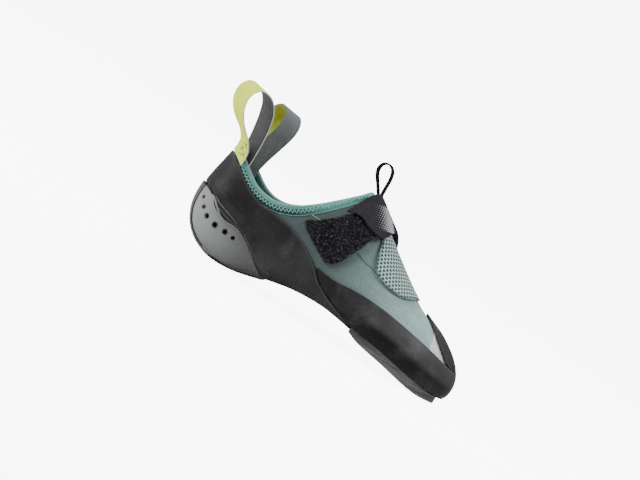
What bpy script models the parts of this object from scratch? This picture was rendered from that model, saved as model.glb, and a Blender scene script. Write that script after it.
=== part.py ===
"""A single-strap climbing shoe for the right foot, standing empty on its heel and toe.

Metres, +Z up, +X towards the toe, -Y the outer (lateral) side. The origin is on the floor, in the
middle of the flat spot under the heel. Every skin of the shoe is a band of one surface, the last:
`along` runs from the back of the heel (0) to the toe tip (1) on each side, and `up` runs from the
middle of the sole (-1) over the widest line (0) to the collar rim or the ridge of the instep (1).
"""

import bmesh
import bpy
import numpy as np
from mathutils import Vector

# Sizes of the last that the shoe is built on
LAST_LENGTH = 0.2520
BALL_WIDTH = 0.087
HEEL_WIDTH = 0.056
INSTEP_HEIGHT = 0.1165
HEEL_HEIGHT = 0.0895
ARCH_RISE = 0.0204
HEEL_BACK_FROM_ORIGIN = 0.0378

# Thicknesses of the materials
UPPER_WALL = 0.0018
INSOLE_THICK = 0.0024
SLING_THICK = 0.0018
RAND_THICK = 0.0020
PATCH_THICK = 0.0016
HEEL_PANEL_THICK = 0.0024
HEEL_STRIP_THICK = 0.0030
OUTSOLE_THICK = 0.0040
OUTSOLE_REAR_THICK = 0.0018
STRAP_THICK = 0.0022
PAD_THICK = 0.0018
PANEL_THICK = 0.0012
OUTSOLE_TAPER = 0.009
WEBBING_THICK = 0.0012
TAPE_THICK = 0.0012

# Widths and lengths of the sewn pieces
WEBBING_WIDTH = 0.0165
TAPE_WIDTH = 0.0040
BINDING_WIDTH = 0.0044
BINDING_THICK = 0.0042
LOOP_OUTER_HEIGHT = 0.0500
LOOP_INNER_HEIGHT = 0.0540
TAPE_LOOP_HEIGHT = 0.0240
VENT_RADII = (0.0011, 0.0014, 0.0018, 0.0021, 0.0019, 0.0013)

# Clearances
GAP = 0.0003
SKIN_GAP = 0.0004
PATCH_GAP = 0.0006
BINDING_GAP = 0.0006
SEAM = 0.0006

# The two sides: the outer side looks along -Y, the inner side along +Y
OUTER, INNER = -1, 1

# One row for each station from the back of the heel to the toe tip.
#   centre   x of the sole's middle, as a share of the last's length from the heel's back
#   swing    y of the sole's middle, as a share of the ball width
#   turn     degrees from straight back that the half-section looks
#   outside  reach from the middle to the widest line on the outer side, as a share of the ball width
#   inside   the same on the inner side
#   belly    height of the widest line, as a share of the instep height
#   square   how square the sole's edge is, 2 for an ellipse
LAST = {
    "back": (0.167, 0.000, 0, 0.4790, 0.4790, 0.360, 2.15),
    "heel corner": (0.167, 0.000, 40, 0.4120, 0.4120, 0.325, 2.20),
    "heel turn": (0.171, 0.000, 71, 0.3420, 0.3420, 0.285, 2.35),
    "heel side": (0.207, 0.000, 90, 0.3270, 0.3240, 0.262, 2.50),
    "quarter": (0.305, 0.006, 90, 0.3300, 0.3090, 0.262, 2.80),
    "waist": (0.419, 0.012, 90, 0.3750, 0.3180, 0.285, 3.20),
    "instep": (0.525, 0.024, 90, 0.4420, 0.3670, 0.290, 3.60),
    "throat": (0.622, 0.035, 90, 0.4960, 0.4250, 0.275, 4.40),
    "ball": (0.728, 0.047, 90, 0.5220, 0.4550, 0.250, 5.00),
    "toes": (0.812, 0.064, 90, 0.5080, 0.4280, 0.222, 5.00),
    "toe side": (0.869, 0.094, 106, 0.4300, 0.3520, 0.192, 4.60),
    "toe corner": (0.897, 0.135, 140, 0.3150, 0.3080, 0.168, 4.00),
    "tip": (0.897, 0.150, 180, 0.3470, 0.3470, 0.156, 3.60),
}

# The collar rim, a closed curve from the back of the heel to the front of the collar.
#   x        share of the last's length from the heel's back
#   outside  y on the outer side, as a share of the heel width
#   inside   y on the inner side, as a share of the heel width
#   height   height on the outer side, as a share of the heel height
#   lift     how much higher the inner side is, as a share of the heel height
#   lean     degrees below level that the wall's end looks, 90 for a straight wall
RIM = {
    "back": (0.0280, 0.000, 0.000, 1.000, 0.000, 82),
    "heel corner": (0.0430, 0.235, 0.235, 0.985, 0.000, 82),
    "heel turn": (0.0920, 0.345, 0.345, 0.905, 0.000, 80),
    "heel side": (0.1640, 0.395, 0.395, 0.782, -0.005, 78),
    "quarter": (0.2500, 0.430, 0.415, 0.764, 0.005, 76),
    "waist": (0.3580, 0.410, 0.390, 0.936, 0.046, 68),
    "instep": (0.4720, -0.050, 0.050, 1.291, 0.000, 10),
}

# The ridge from the front of the collar to the toe, where both sides meet.
#   x        share of the last's length from the heel's back
#   y        share of the ball width
#   height   share of the instep height
RIDGE = {
    "instep": (0.4720, 0.034, 0.992),
    "throat": (0.5870, 0.047, 0.820),
    "ball": (0.7020, 0.071, 0.648),
    "toes": (0.7960, 0.100, 0.520),
    "toe side": (0.8560, 0.130, 0.461),
    "toe corner": (0.8860, 0.148, 0.436),
    "tip": (0.9030, 0.155, 0.418),
}

# The bottom line of the last, from the heel to the toe, over the thickness of the rubber below it.
#   x        share of the last's length from the heel's back
#   height   share of the arch's rise
#   lift     how much higher the inner side's edge is, as a share of the arch's rise
SOLE_LINE = {
    "heel seat": (0.130, 0.132, 0.00),
    "heel front": (0.215, 0.190, 0.02),
    "heel breast": (0.300, 0.455, 0.06),
    "shank": (0.390, 0.775, 0.16),
    "arch": (0.480, 0.950, 0.22),
    "arch front": (0.560, 1.000, 0.20),
    "ball rear": (0.640, 0.915, 0.12),
    "ball": (0.730, 0.735, 0.05),
    "toes": (0.820, 0.570, 0.02),
    "toe crease": (0.900, 0.350, 0.00),
    "toe rest": (0.970, 0.202, 0.00),
    "toe end": (1.040, 0.196, 0.00),
}

# How full each half-section is between the widest line and the top
FULLNESS = (0.36, 0.36, 0.35, 0.34, 0.33, 0.32, 0.30, 0.29, 0.29, 0.30, 0.31, 0.32, 0.32)

COLLAR_STATIONS = len(RIM) - 1
STATIONS = len(LAST) - 1


def cubic(values, where, closed=False):
    """Reads a smooth curve through evenly spaced values, at the places `where`, counted in steps."""
    values = np.asarray(values, float)
    count = len(values)
    if closed:
        matrix = 4 * np.eye(count) + np.roll(np.eye(count), 1, 0) + np.roll(np.eye(count), -1, 0)
        bend = np.linalg.solve(matrix, 6 * (np.roll(values, 1) - 2 * values + np.roll(values, -1)))
        step = np.floor(where).astype(int)
        first, second = step % count, (step + 1) % count
    else:
        matrix = np.eye(count)
        right = np.zeros(count)
        for row in range(1, count - 1):
            matrix[row, row - 1 : row + 2] = 1, 4, 1
            right[row] = 6 * (values[row - 1] - 2 * values[row] + values[row + 1])
        bend = np.linalg.solve(matrix, right)
        step = np.clip(np.floor(where).astype(int), 0, count - 2)
        first, second = step, step + 1
    b = where - step
    a = 1 - b
    return (
        a * values[first]
        + b * values[second]
        + ((a**3 - a) * bend[first] + (b**3 - b) * bend[second]) / 6
    )


def column(table, index):
    return np.array([row[index] for row in table.values()])


def round_the_shoe(outside, inside, along, side, stations=STATIONS):
    """Reads a closed curve whose values run down the outer side and back up the inner side."""
    values = np.concatenate([outside, inside[-2:0:-1]])
    place = stations * along
    return cubic(values, place if side == OUTER else len(values) - place, closed=True)


def turn_of(side, along):
    """The direction of each half-section, in radians from straight back, through the outer side."""
    turns = column(LAST, 2)
    values = np.concatenate([turns, 360 - turns[-2:0:-1]])
    steady = 360 / len(values)
    place = STATIONS * along if side == OUTER else len(values) - STATIONS * along
    extra = cubic(values - steady * np.arange(len(values)), place, closed=True)
    return np.radians(extra + steady * place)


def sole_height(x, across):
    """The height of the last's bottom. `across` runs from -1 at the outer edge to 1 at the inner."""
    share = np.clip((x + HEEL_BACK_FROM_ORIGIN) / LAST_LENGTH, 0, 1.04)
    places = column(SOLE_LINE, 0)
    steps = np.interp(share, places, np.arange(len(places)))
    height = cubic(column(SOLE_LINE, 1), steps)
    lift = cubic(column(SOLE_LINE, 2), steps)
    return ARCH_RISE * (height + lift * np.clip(across, 0, 1) ** 2)


def top_point(side, along):
    """The collar rim, and past the front of the collar the ridge. Also the ridge's slope there."""
    rim_along = np.clip(along, 0, COLLAR_STATIONS / STATIONS)
    high = column(RIM, 3)
    lifted = high + column(RIM, 4)
    rim_x = round_the_shoe(column(RIM, 0), column(RIM, 0), rim_along, side)
    rim_y = round_the_shoe(-column(RIM, 1), column(RIM, 2), rim_along, side)
    rim_z = round_the_shoe(high, lifted, rim_along, side)
    rim = (rim_x * LAST_LENGTH, rim_y * HEEL_WIDTH, rim_z * HEEL_HEIGHT)
    past = np.clip(STATIONS * along - COLLAR_STATIONS, 0, None)
    sizes = (LAST_LENGTH, BALL_WIDTH, INSTEP_HEIGHT)
    ridge = [cubic(column(RIDGE, i), past) * sizes[i] for i in range(3)]
    step = 0.01
    later = [cubic(column(RIDGE, i), past + step) * sizes[i] for i in (0, 2)]
    slope = (later[1] - ridge[2]) / (later[0] - ridge[0])

    # The rim's front is drawn onto the ridge's first point
    front = [RIM["instep"][i] for i in (0, 2, 3)]
    front = (front[0] * LAST_LENGTH, front[1] * HEEL_WIDTH, front[2] * HEEL_HEIGHT)
    start = [RIDGE["instep"][i] * sizes[i] for i in range(3)]
    near_front = np.clip(STATIONS * along - (COLLAR_STATIONS - 1), 0, 1) ** 2
    rim = [rim[i] + near_front * (start[i] - front[i]) for i in range(3)]
    on_ridge = STATIONS * along >= COLLAR_STATIONS
    point = [np.where(on_ridge, ridge[i], rim[i]) for i in range(3)]
    return np.stack([point[0] - HEEL_BACK_FROM_ORIGIN, point[1], point[2]], -1), slope


def last_point(side, along, up):
    """A point of the last's surface. `along` and `up` are arrays of one shape."""
    along = np.clip(np.asarray(along, float), 0, 1)
    up = np.asarray(up, float)
    centre_x = round_the_shoe(column(LAST, 0), column(LAST, 0), along, side)
    centre_y = round_the_shoe(column(LAST, 1), column(LAST, 1), along, side)
    reach = round_the_shoe(column(LAST, 3), column(LAST, 4), along, side) * BALL_WIDTH
    belly = round_the_shoe(column(LAST, 5), column(LAST, 5), along, side) * INSTEP_HEIGHT
    square = round_the_shoe(column(LAST, 6), column(LAST, 6), along, side)
    turn = turn_of(side, along)
    out = np.stack([-np.cos(turn), -np.sin(turn), np.zeros_like(turn)], -1)
    centre = np.stack([centre_x, centre_y, np.zeros_like(turn)], -1)
    centre = centre * (LAST_LENGTH, BALL_WIDTH, 0) - (HEEL_BACK_FROM_ORIGIN, 0, 0)

    # Under the widest line the half-section is a rounded square corner
    angle = np.radians(90) * (1 + np.clip(up, -1, 0))
    sine, cosine = np.clip(np.sin(angle), 0, 1), np.clip(np.cos(angle), 0, 1)
    radius = (sine**square + cosine**square) ** (-1 / square)
    low = centre + out * (reach * radius * sine)[..., None]
    sole = sole_height(low[..., 0], side * radius * sine * np.abs(np.sin(turn)))
    low[..., 2] = sole + (belly - sole) * (1 - radius * cosine)

    # Over it a curve climbs straight up and turns in to the rim or the ridge
    top, slope = top_point(side, along)
    widest = centre + out * reach[..., None]
    widest[..., 2] = belly
    full = cubic(FULLNESS, STATIONS * along) * np.linalg.norm(top - widest, axis=-1)
    lean_rows = np.concatenate([column(RIM, 5), np.zeros(STATIONS - COLLAR_STATIONS)])
    lean = np.radians(np.interp(STATIONS * along, np.arange(STATIONS + 1), lean_rows))
    level = widest - top
    level[..., 2] = 0
    level /= np.linalg.norm(level, axis=-1)[..., None]
    on_ridge = np.clip(STATIONS * along - (COLLAR_STATIONS - 1), 0, 1)
    end = level * np.cos(lean)[..., None]
    end[..., 2] = on_ridge * slope * level[..., 0] - np.sin(lean)
    first = widest.copy()
    first[..., 2] += full
    second = top + end * full[..., None]
    b = np.clip(up, 0, 1)[..., None]
    a = 1 - b
    high = a**3 * widest + 3 * a**2 * b * first + 3 * a * b**2 * second + b**3 * top
    return np.where((up > 0)[..., None], high, low)


def neighbour(side, along, up):
    """A point of the last that may lie past an edge of this side, where the other side goes on."""
    over_ends = (along < 0) | (along > 1)
    over_ridge = (up > 1) & (along > COLLAR_STATIONS / STATIONS)
    crossed = over_ends ^ over_ridge
    along = np.abs(along)
    along = np.where(along > 1, 2 - along, along)
    up = np.where(over_ridge, 2 - up, np.minimum(up, 1))
    here, there = last_point(side, along, up), last_point(-side, along, up)
    return np.where(crossed[..., None], there, here)


def normal_of(side, along, up):
    """The outward normal of the last, from small steps each way."""
    step, wide = 0.003, 0.010
    # The end of the ridge has no side of its own, so its direction is read just before it
    along = np.where((up > 0.98) & (along > 1 - wide), 1 - wide, along)
    upward = neighbour(side, along, up + step) - neighbour(side, along, np.maximum(up - step, -1))
    forward = neighbour(side, along + wide, up) - neighbour(side, along - wide, up)
    normal = np.cross(forward, upward) * -side
    size = np.maximum(np.linalg.norm(normal, axis=-1, keepdims=True), 1e-15)
    x = last_point(side, along, up)[..., 0]
    climb = (sole_height(x + step, 0) - sole_height(x - step, 0)) / (2 * step)
    sole = np.stack([climb, np.zeros_like(climb), -np.ones_like(climb)], -1)
    sole /= np.linalg.norm(sole, axis=-1, keepdims=True)
    return np.where((up < -0.94)[..., None], sole, normal / size)


def skin_point(side, along, up, offset=0.0):
    """A point `offset` outside the last."""
    along, up = np.broadcast_arrays(np.asarray(along, float), np.asarray(up, float))
    offset = np.broadcast_to(np.asarray(offset, float), along.shape)
    return last_point(side, along, up) + normal_of(side, along, up) * offset[..., None]


def through(knots, share):
    """A smooth line through the knots, read at shares 0 to 1 of its run."""
    knots = np.asarray(knots, float)
    where = np.asarray(share) * (len(knots) - 1)
    return np.stack([cubic(knots[:, i], where) for i in range(knots.shape[1])], -1)


def beside(side, knots, distance):
    """The knots moved over the last by `distance`, to the left of their run as seen from outside."""
    shares = np.linspace(0, 1, len(knots))
    places = np.asarray(knots, float)
    step = 0.004
    ahead, behind = through(knots, np.minimum(shares + step, 1)), through(knots, np.maximum(shares - step, 0))
    run = last_point(side, ahead[:, 0], ahead[:, 1]) - last_point(side, behind[:, 0], behind[:, 1])
    aside = np.cross(normal_of(side, places[:, 0], places[:, 1]), run)
    aside *= distance / np.linalg.norm(aside, axis=-1, keepdims=True)
    here = last_point(side, places[:, 0], places[:, 1])
    low = np.where(places[:, 1] > 0.9, -step, step)
    d_along = (last_point(side, places[:, 0] + step, places[:, 1]) - here) / step
    d_up = (last_point(side, places[:, 0], places[:, 1] + low) - here) / low[:, None]
    moved = []
    for place, a, b, c in zip(places, d_along, d_up, aside):
        shift = np.linalg.lstsq(np.stack([a, b], -1), c, rcond=None)[0]
        moved.append((place[0] + shift[0], place[1] + shift[1]))
    return moved


# Steps of the upper's mesh round the shoe and up its wall
ALONG_ROWS = np.concatenate([
    np.linspace(0, 0.416, 14)[:-1], np.linspace(0.416, 0.5, 9)[:-1], np.linspace(0.5, 1, 17)
])
UPPER_ROWS = (-0.62, -0.52, -0.42, -0.31, -0.18, -0.03, 0.15, 0.34, 0.53, 0.71, 0.85, 0.94, 1.0)

# Pattern lines as places on the last: (along, up)
SLING_FRONT = {
    OUTER: ((0.00, 0.858), (0.060, 0.860), (0.125, 0.858), (0.200, 0.838), (0.275, 0.820),
            (0.342, 0.775), (0.385, 0.610), (0.420, 0.340), (0.455, 0.140), (0.500, -0.060),
            (0.548, -0.280), (0.603, -0.400), (0.618, -0.620), (0.618, -1.00)),
    INNER: ((0.00, 0.858), (0.060, 0.860), (0.125, 0.858), (0.200, 0.838), (0.275, 0.820),
            (0.342, 0.755), (0.388, 0.590), (0.425, 0.340), (0.462, 0.150), (0.505, -0.050),
            (0.550, -0.270), (0.603, -0.400), (0.618, -0.620), (0.618, -1.00)),
}
CUP_EDGE = ((0.000, 0.190), (0.030, 0.190), (0.065, 0.190), (0.098, 0.162), (0.125, 0.090),
            (0.155, 0.045), (0.195, 0.040), (0.232, 0.070), (0.262, 0.030), (0.290, -0.090),
            (0.315, -0.240), (0.338, -0.420), (0.355, -0.650), (0.360, -1.000))
CUP_GROOVE = ((0.050, 0.150), (0.048, -0.080), (0.052, -0.320), (0.080, -0.520), (0.160, -0.640),
              (0.245, -0.660), (0.310, -0.590), (0.345, -0.520))
CUP_FRONT = ((0.060, 0.165), (0.105, 0.125), (0.150, 0.025), (0.195, 0.020), (0.235, 0.045),
             (0.278, -0.060), (0.315, -0.260), (0.342, -0.480))
BAND_MIDDLE = ((0.000, 0.150), (0.000, -0.120), (0.000, -0.400), (0.000, -0.700), (0.000, -1.000),
               (0.215, -1.000), (0.285, -1.000), (0.345, -1.000))
RAND_TOP = {
    OUTER: ((0.4605, 0.134), (0.505, 0.105), (0.560, 0.145), (0.620, 0.210), (0.690, 0.270),
            (0.765, 0.315), (0.845, 0.325), (0.925, 0.305), (1.000, 0.300)),
    INNER: ((0.4720, 0.141), (0.510, 0.125), (0.565, 0.160), (0.625, 0.215), (0.695, 0.275),
            (0.770, 0.325), (0.850, 0.335), (0.925, 0.310), (1.000, 0.300)),
}
RAND_MIDDLE = ((0.5325, -0.158), (0.580, -0.150), (0.640, -0.120), (0.700, -0.090), (0.760, -0.065),
               (0.820, -0.060), (0.880, -0.060), (0.940, -0.060), (1.000, -0.060))
RAND_FOOT = ((0.610, -0.405), (0.655, -0.415), (0.700, -0.420), (0.750, -0.420), (0.800, -0.420),
             (0.850, -0.420), (0.900, -0.420), (0.950, -0.420), (1.000, -0.420))
SOLE_EDGE = ((0.622, -0.470), (0.670, -0.460), (0.720, -0.455), (0.770, -0.455), (0.820, -0.460),
             (0.865, -0.470), (0.910, -0.490), (0.955, -0.500), (1.000, -0.500))
PATCH_EDGE = {
    OUTER: ((0.795, 0.985), (0.838, 0.800), (0.870, 0.600), (0.902, 0.450), (0.935, 0.330),
            (1.000, 0.320)),
    INNER: ((0.775, 0.800), (0.765, 0.560), (0.795, 0.360), (0.860, 0.355), (0.930, 0.332),
            (1.000, 0.320)),
}
PATCH_RIDGE = ((0.785, 1.000), (0.830, 1.000), (0.872, 1.000), (0.915, 1.000), (0.958, 1.000),
               (1.000, 1.000))
PANEL_EDGE = {
    OUTER: ((0.733, 0.900), (0.708, 0.640), (0.665, 0.505), (0.625, 0.460), (0.598, 0.490),
            (0.584, 0.640), (0.574, 0.780), (0.552, 0.840), (0.533, 0.900)),
    INNER: ((0.733, 0.920), (0.705, 0.870), (0.677, 0.830), (0.650, 0.800), (0.622, 0.780),
            (0.597, 0.770), (0.574, 0.780), (0.552, 0.820), (0.533, 0.900)),
}
PANEL_RIDGE = tuple((0.737 - 0.0255 * step, 1.0) for step in range(9))
PAD_REAR = ((0.470, 0.215), (0.444, 0.330), (0.426, 0.470), (0.412, 0.620), (0.406, 0.750))
PAD_FRONT = ((0.494, 0.215), (0.510, 0.280), (0.528, 0.400), (0.545, 0.550), (0.558, 0.705))
STRAP_REAR = {
    OUTER: ((0.462, 0.770), (0.477, 0.825), (0.491, 0.880), (0.503, 0.940), (0.512, 1.000)),
    INNER: ((0.512, 1.000), (0.509, 0.860), (0.506, 0.720), (0.508, 0.580), (0.515, 0.440)),
}
STRAP_MIDDLE = {
    OUTER: ((0.514, 0.640), (0.526, 0.730), (0.536, 0.820), (0.544, 0.910), (0.549, 1.000)),
    INNER: ((0.549, 1.000), (0.552, 0.860), (0.553, 0.720), (0.556, 0.580), (0.562, 0.440)),
}
STRAP_FRONT = {
    OUTER: ((0.573, 0.700), (0.578, 0.770), (0.582, 0.850), (0.584, 0.925), (0.585, 1.000)),
    INNER: ((0.585, 1.000), (0.590, 0.860), (0.596, 0.720), (0.602, 0.580), (0.608, 0.440)),
}
STRAP_LIFTS = {
    OUTER: (0.0036, 0.0038, 0.0044, 0.0050, 0.0052),
    INNER: (0.0052, 0.0046, 0.0034, 0.0018, 0.0004),
}
VENTS = ((0.068, 0.020), (0.087, -0.070), (0.112, -0.130), (0.155, -0.140), (0.203, -0.110),
         (0.238, -0.110))

# A pull loop's turns, in a plane across the rim: out from the wall, up from the rim and towards the
# toe along the rim, each as a share of the loop's height
OUTER_LOOP = {
    "sewn end": (0.058, -0.090, 0.000),
    "rim": (0.066, 0.070, 0.000),
    "bend": (0.160, 0.240, -0.020),
    "side": (0.400, 0.390, -0.090),
    "back": (0.570, 0.540, -0.140),
    "shoulder": (0.640, 0.760, -0.180),
    "crown": (0.480, 0.960, -0.180),
    "crest": (0.240, 0.980, -0.140),
    "front": (0.030, 0.860, -0.090),
    "inner leg": (-0.080, 0.600, -0.050),
    "inner bend": (-0.118, 0.320, -0.020),
    "inner rim": (-0.124, 0.060, 0.000),
    "inner end": (-0.126, -0.200, 0.000),
}
INNER_LOOP = {
    "sewn end": (0.056, -0.085, 0.060),
    "rim": (0.062, 0.050, 0.060),
    "bend": (0.110, 0.230, 0.050),
    "side": (0.210, 0.450, 0.040),
    "shoulder": (0.250, 0.700, 0.050),
    "crown": (0.190, 0.900, 0.110),
    "crest": (0.060, 0.990, 0.190),
    "front": (-0.080, 0.930, 0.240),
    "inner leg": (-0.150, 0.740, 0.240),
    "inner bend": (-0.130, 0.430, 0.170),
    "inner rim": (-0.118, 0.080, 0.080),
    "inner end": (-0.120, -0.180, 0.060),
}
# The tape loop's turns in the shoe's middle plane: forward and up, as shares of its height
TAPE_TURNS = {
    "rear foot": (0.120, 0.000),
    "rear leg": (-0.060, 0.260),
    "rear side": (-0.270, 0.560),
    "rear crown": (-0.300, 0.830),
    "crown": (-0.160, 0.990),
    "front crown": (0.060, 0.960),
    "front side": (0.200, 0.730),
    "front leg": (0.240, 0.420),
    "front foot": (0.260, 0.060),
}
LOOP_STATION = 0.125


def finish(name, mesh, material, floor=None):
    """Makes the node and, where it rests, cuts its flat spot at the floor."""
    node = bpy.data.objects.new(name, mesh)
    PARTS.objects.link(node)
    mesh.materials.append(material)
    if floor:
        cut = node.modifiers.new("Flat spot", "BOOLEAN")
        cut.operation = "DIFFERENCE"
        cut.solver = "EXACT"
        cut.object = floor
    return node


def shell_mesh(name, near, far, merge=0.00008):
    """A closed skin between two layers of the last, given as matching grids of points."""
    build = bmesh.new()
    other = build.verts.layers.float_vector.new("far side")
    for points, partners in zip(near, far):
        rows, columns = points.shape[:2]
        vertices = [[build.verts.new(points[i, j]) for j in range(columns)] for i in range(rows)]
        for i in range(rows):
            for j in range(columns):
                vertices[i][j][other] = partners[i, j]
        for i in range(rows - 1):
            for j in range(columns - 1):
                corners = (vertices[i][j], vertices[i + 1][j], vertices[i + 1][j + 1], vertices[i][j + 1])
                build.faces.new(corners)
    bmesh.ops.remove_doubles(build, verts=build.verts, dist=merge)
    bmesh.ops.recalc_face_normals(build, faces=build.faces)
    grown = bmesh.ops.extrude_face_region(build, geom=list(build.faces), use_keep_orig=True)["geom"]
    for vertex in grown:
        if isinstance(vertex, bmesh.types.BMVert):
            vertex.co = vertex[other]
    bmesh.ops.recalc_face_normals(build, faces=build.faces)
    mesh = bpy.data.meshes.new(name)
    build.to_mesh(mesh)
    build.free()
    return mesh


def places_between(lines, columns, rows):
    """Places on the last between two or more lines: `columns` steps along them, `rows` across."""
    shares = np.linspace(0, 1, columns + 1)
    runs = np.stack([through(line, shares) for line in lines])
    across = np.linspace(0, len(lines) - 1, rows + 1)
    places = np.stack([
        np.stack([cubic(runs[:, i, k], across) for k in range(2)], -1) for i in range(columns + 1)
    ])
    return np.clip(places[..., 0], 0, 1), np.clip(places[..., 1], -1, 1)


def skin_mesh(name, sides, columns, rows, low, high):
    """A skin of the shoe between the offsets `low` and `high`, its pattern lines given for each side."""
    near, far = [], []
    for side, lines in sides.items():
        along, up = places_between(lines, columns, rows)
        near.append(skin_point(side, along, up, low))
        far.append(skin_point(side, along, up, high))
    return shell_mesh(name, near, far)


def make_upper(material):
    along, up = np.meshgrid(ALONG_ROWS, UPPER_ROWS, indexing="ij")
    near = [last_point(side, along, up) for side in (OUTER, INNER)]
    far = [skin_point(side, along, up, -UPPER_WALL) for side in (OUTER, INNER)]
    return finish("upper", shell_mesh("upper", near, far), material)


def make_insole(material):
    """The lasting board inside, over the upper's turned-under edge."""
    along, up = np.meshgrid(ALONG_ROWS[::2], (-1.0, -0.80, -0.68, -0.60), indexing="ij")
    low = -UPPER_WALL - PATCH_GAP
    near = [skin_point(side, along, up, low) for side in (OUTER, INNER)]
    far = [skin_point(side, along, up, low - INSOLE_THICK) for side in (OUTER, INNER)]
    return finish("insole", shell_mesh("insole", near, far), material)


def make_outsole(material, floor):
    """The half sole: its top follows the last, its sides stand straight and its rear is skived."""
    shares = np.linspace(0, 1, 17)
    across = np.linspace(0, 1, 6) ** 0.8
    start = float(last_point(OUTER, np.array(SOLE_EDGE[0][0]), np.array(-1.0))[0])
    near, far = [], []
    for side in (OUTER, INNER):
        edge_line = through(SOLE_EDGE, shares)
        along = np.repeat(edge_line[:, :1], len(across), 1)
        up = -1 + across[None, :] * (edge_line[:, 1:] + 1)
        top = skin_point(side, along, up, SKIN_GAP)
        share = np.clip((top[..., 0] - start) / OUTSOLE_TAPER, 0, 1)
        thick = OUTSOLE_REAR_THICK + (OUTSOLE_THICK - OUTSOLE_REAR_THICK) * share
        bottom = top.copy()
        bottom[..., 2] = sole_height(top[..., 0], 0) - SKIN_GAP - thick
        near.append(top)
        far.append(bottom)
    return finish("outsole", shell_mesh("outsole", near, far), material, floor)


def make_heel_sling(material):
    sides = {side: (CUP_EDGE, SLING_FRONT[side]) for side in (OUTER, INNER)}
    mesh = skin_mesh("heel_sling", sides, 30, 6, SKIN_GAP, SKIN_GAP + SLING_THICK)
    return finish("heel_sling", mesh, material)


def make_toe_rand(material):
    sides = {side: (RAND_FOOT, RAND_MIDDLE, RAND_TOP[side]) for side in (OUTER, INNER)}
    mesh = skin_mesh("toe_rand", sides, 26, 6, SKIN_GAP, SKIN_GAP + RAND_THICK)
    return finish("toe_rand", mesh, material)


def make_toe_patch(material):
    sides = {side: (PATCH_EDGE[side], PATCH_RIDGE) for side in (OUTER, INNER)}
    mesh = skin_mesh("toe_patch", sides, 14, 7, PATCH_GAP, PATCH_GAP + PATCH_THICK)
    return finish("toe_patch", mesh, material)


def make_instep_panel(material):
    sides = {side: (PANEL_EDGE[side], PANEL_RIDGE) for side in (OUTER, INNER)}
    mesh = skin_mesh("instep_panel", sides, 14, 5, SKIN_GAP, SKIN_GAP + PANEL_THICK)
    return finish("instep_panel", mesh, material)


def make_heel_cup(material, side, name, vents=()):
    """A moulded heel panel, with vent holes where `vents` gives their places and radii."""
    lines = {side: (CUP_GROOVE, CUP_FRONT)}
    mesh = skin_mesh(name, lines, 14, 7, SKIN_GAP, SKIN_GAP + HEEL_PANEL_THICK)
    node = finish(name, mesh, material)
    for number, ((along, up), radius) in enumerate(vents):
        place = np.array(along), np.array(up)
        direction = Vector(normal_of(side, *place))
        bpy.ops.mesh.primitive_cylinder_add(
            vertices=12,
            radius=radius,
            depth=4 * HEEL_PANEL_THICK,
            location=Vector(skin_point(side, *place, SKIN_GAP + HEEL_PANEL_THICK / 2)),
            rotation=direction.to_track_quat("Z", "Y").to_euler(),
        )
        cutter = bpy.context.object
        keep_aside(cutter, "vent cutter %d" % number)
        cut = node.modifiers.new("Vent %d" % number, "BOOLEAN")
        cut.operation = "DIFFERENCE"
        cut.solver = "EXACT"
        cut.object = cutter
    return node


def make_heel_band(material, floor):
    """The moulded strip down the back and under the heel, up to the grooves round the heel panels."""
    near, far = [], []
    for side in (OUTER, INNER):
        along, up = places_between((beside(side, CUP_GROOVE, side * SEAM), BAND_MIDDLE), 16, 4)
        # Both sides meet in the shoe's middle, which runs down the back and then under the heel
        behind = up[:, -1] > -0.97
        along[behind, -1] = 0
        up[~behind, -1] = -1
        near.append(skin_point(side, along, up, SKIN_GAP))
        far.append(skin_point(side, along, up, SKIN_GAP + HEEL_STRIP_THICK))
    mesh = shell_mesh("heel_band", near, far)
    return finish("heel_band", mesh, material, floor)


def make_strap(material):
    """The closure strap, from the inner side over the instep panel onto the loop pad."""
    near, far = [], []
    for side in (OUTER, INNER):
        lines = (STRAP_REAR[side], STRAP_MIDDLE[side], STRAP_FRONT[side])
        along, up = places_between(lines, 8, 5)
        lift = through(np.array(STRAP_LIFTS[side])[:, None], np.linspace(0, 1, 9))
        near.append(skin_point(side, along, up, lift))
        far.append(skin_point(side, along, up, lift + STRAP_THICK))
    return finish("strap", shell_mesh("strap", near, far), material)


def make_strap_pad(material):
    lines = {OUTER: (PAD_REAR, PAD_FRONT)}
    mesh = skin_mesh("strap_pad", lines, 12, 7, PATCH_GAP, PATCH_GAP + PAD_THICK)
    return finish("strap_pad", mesh, material)


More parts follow.
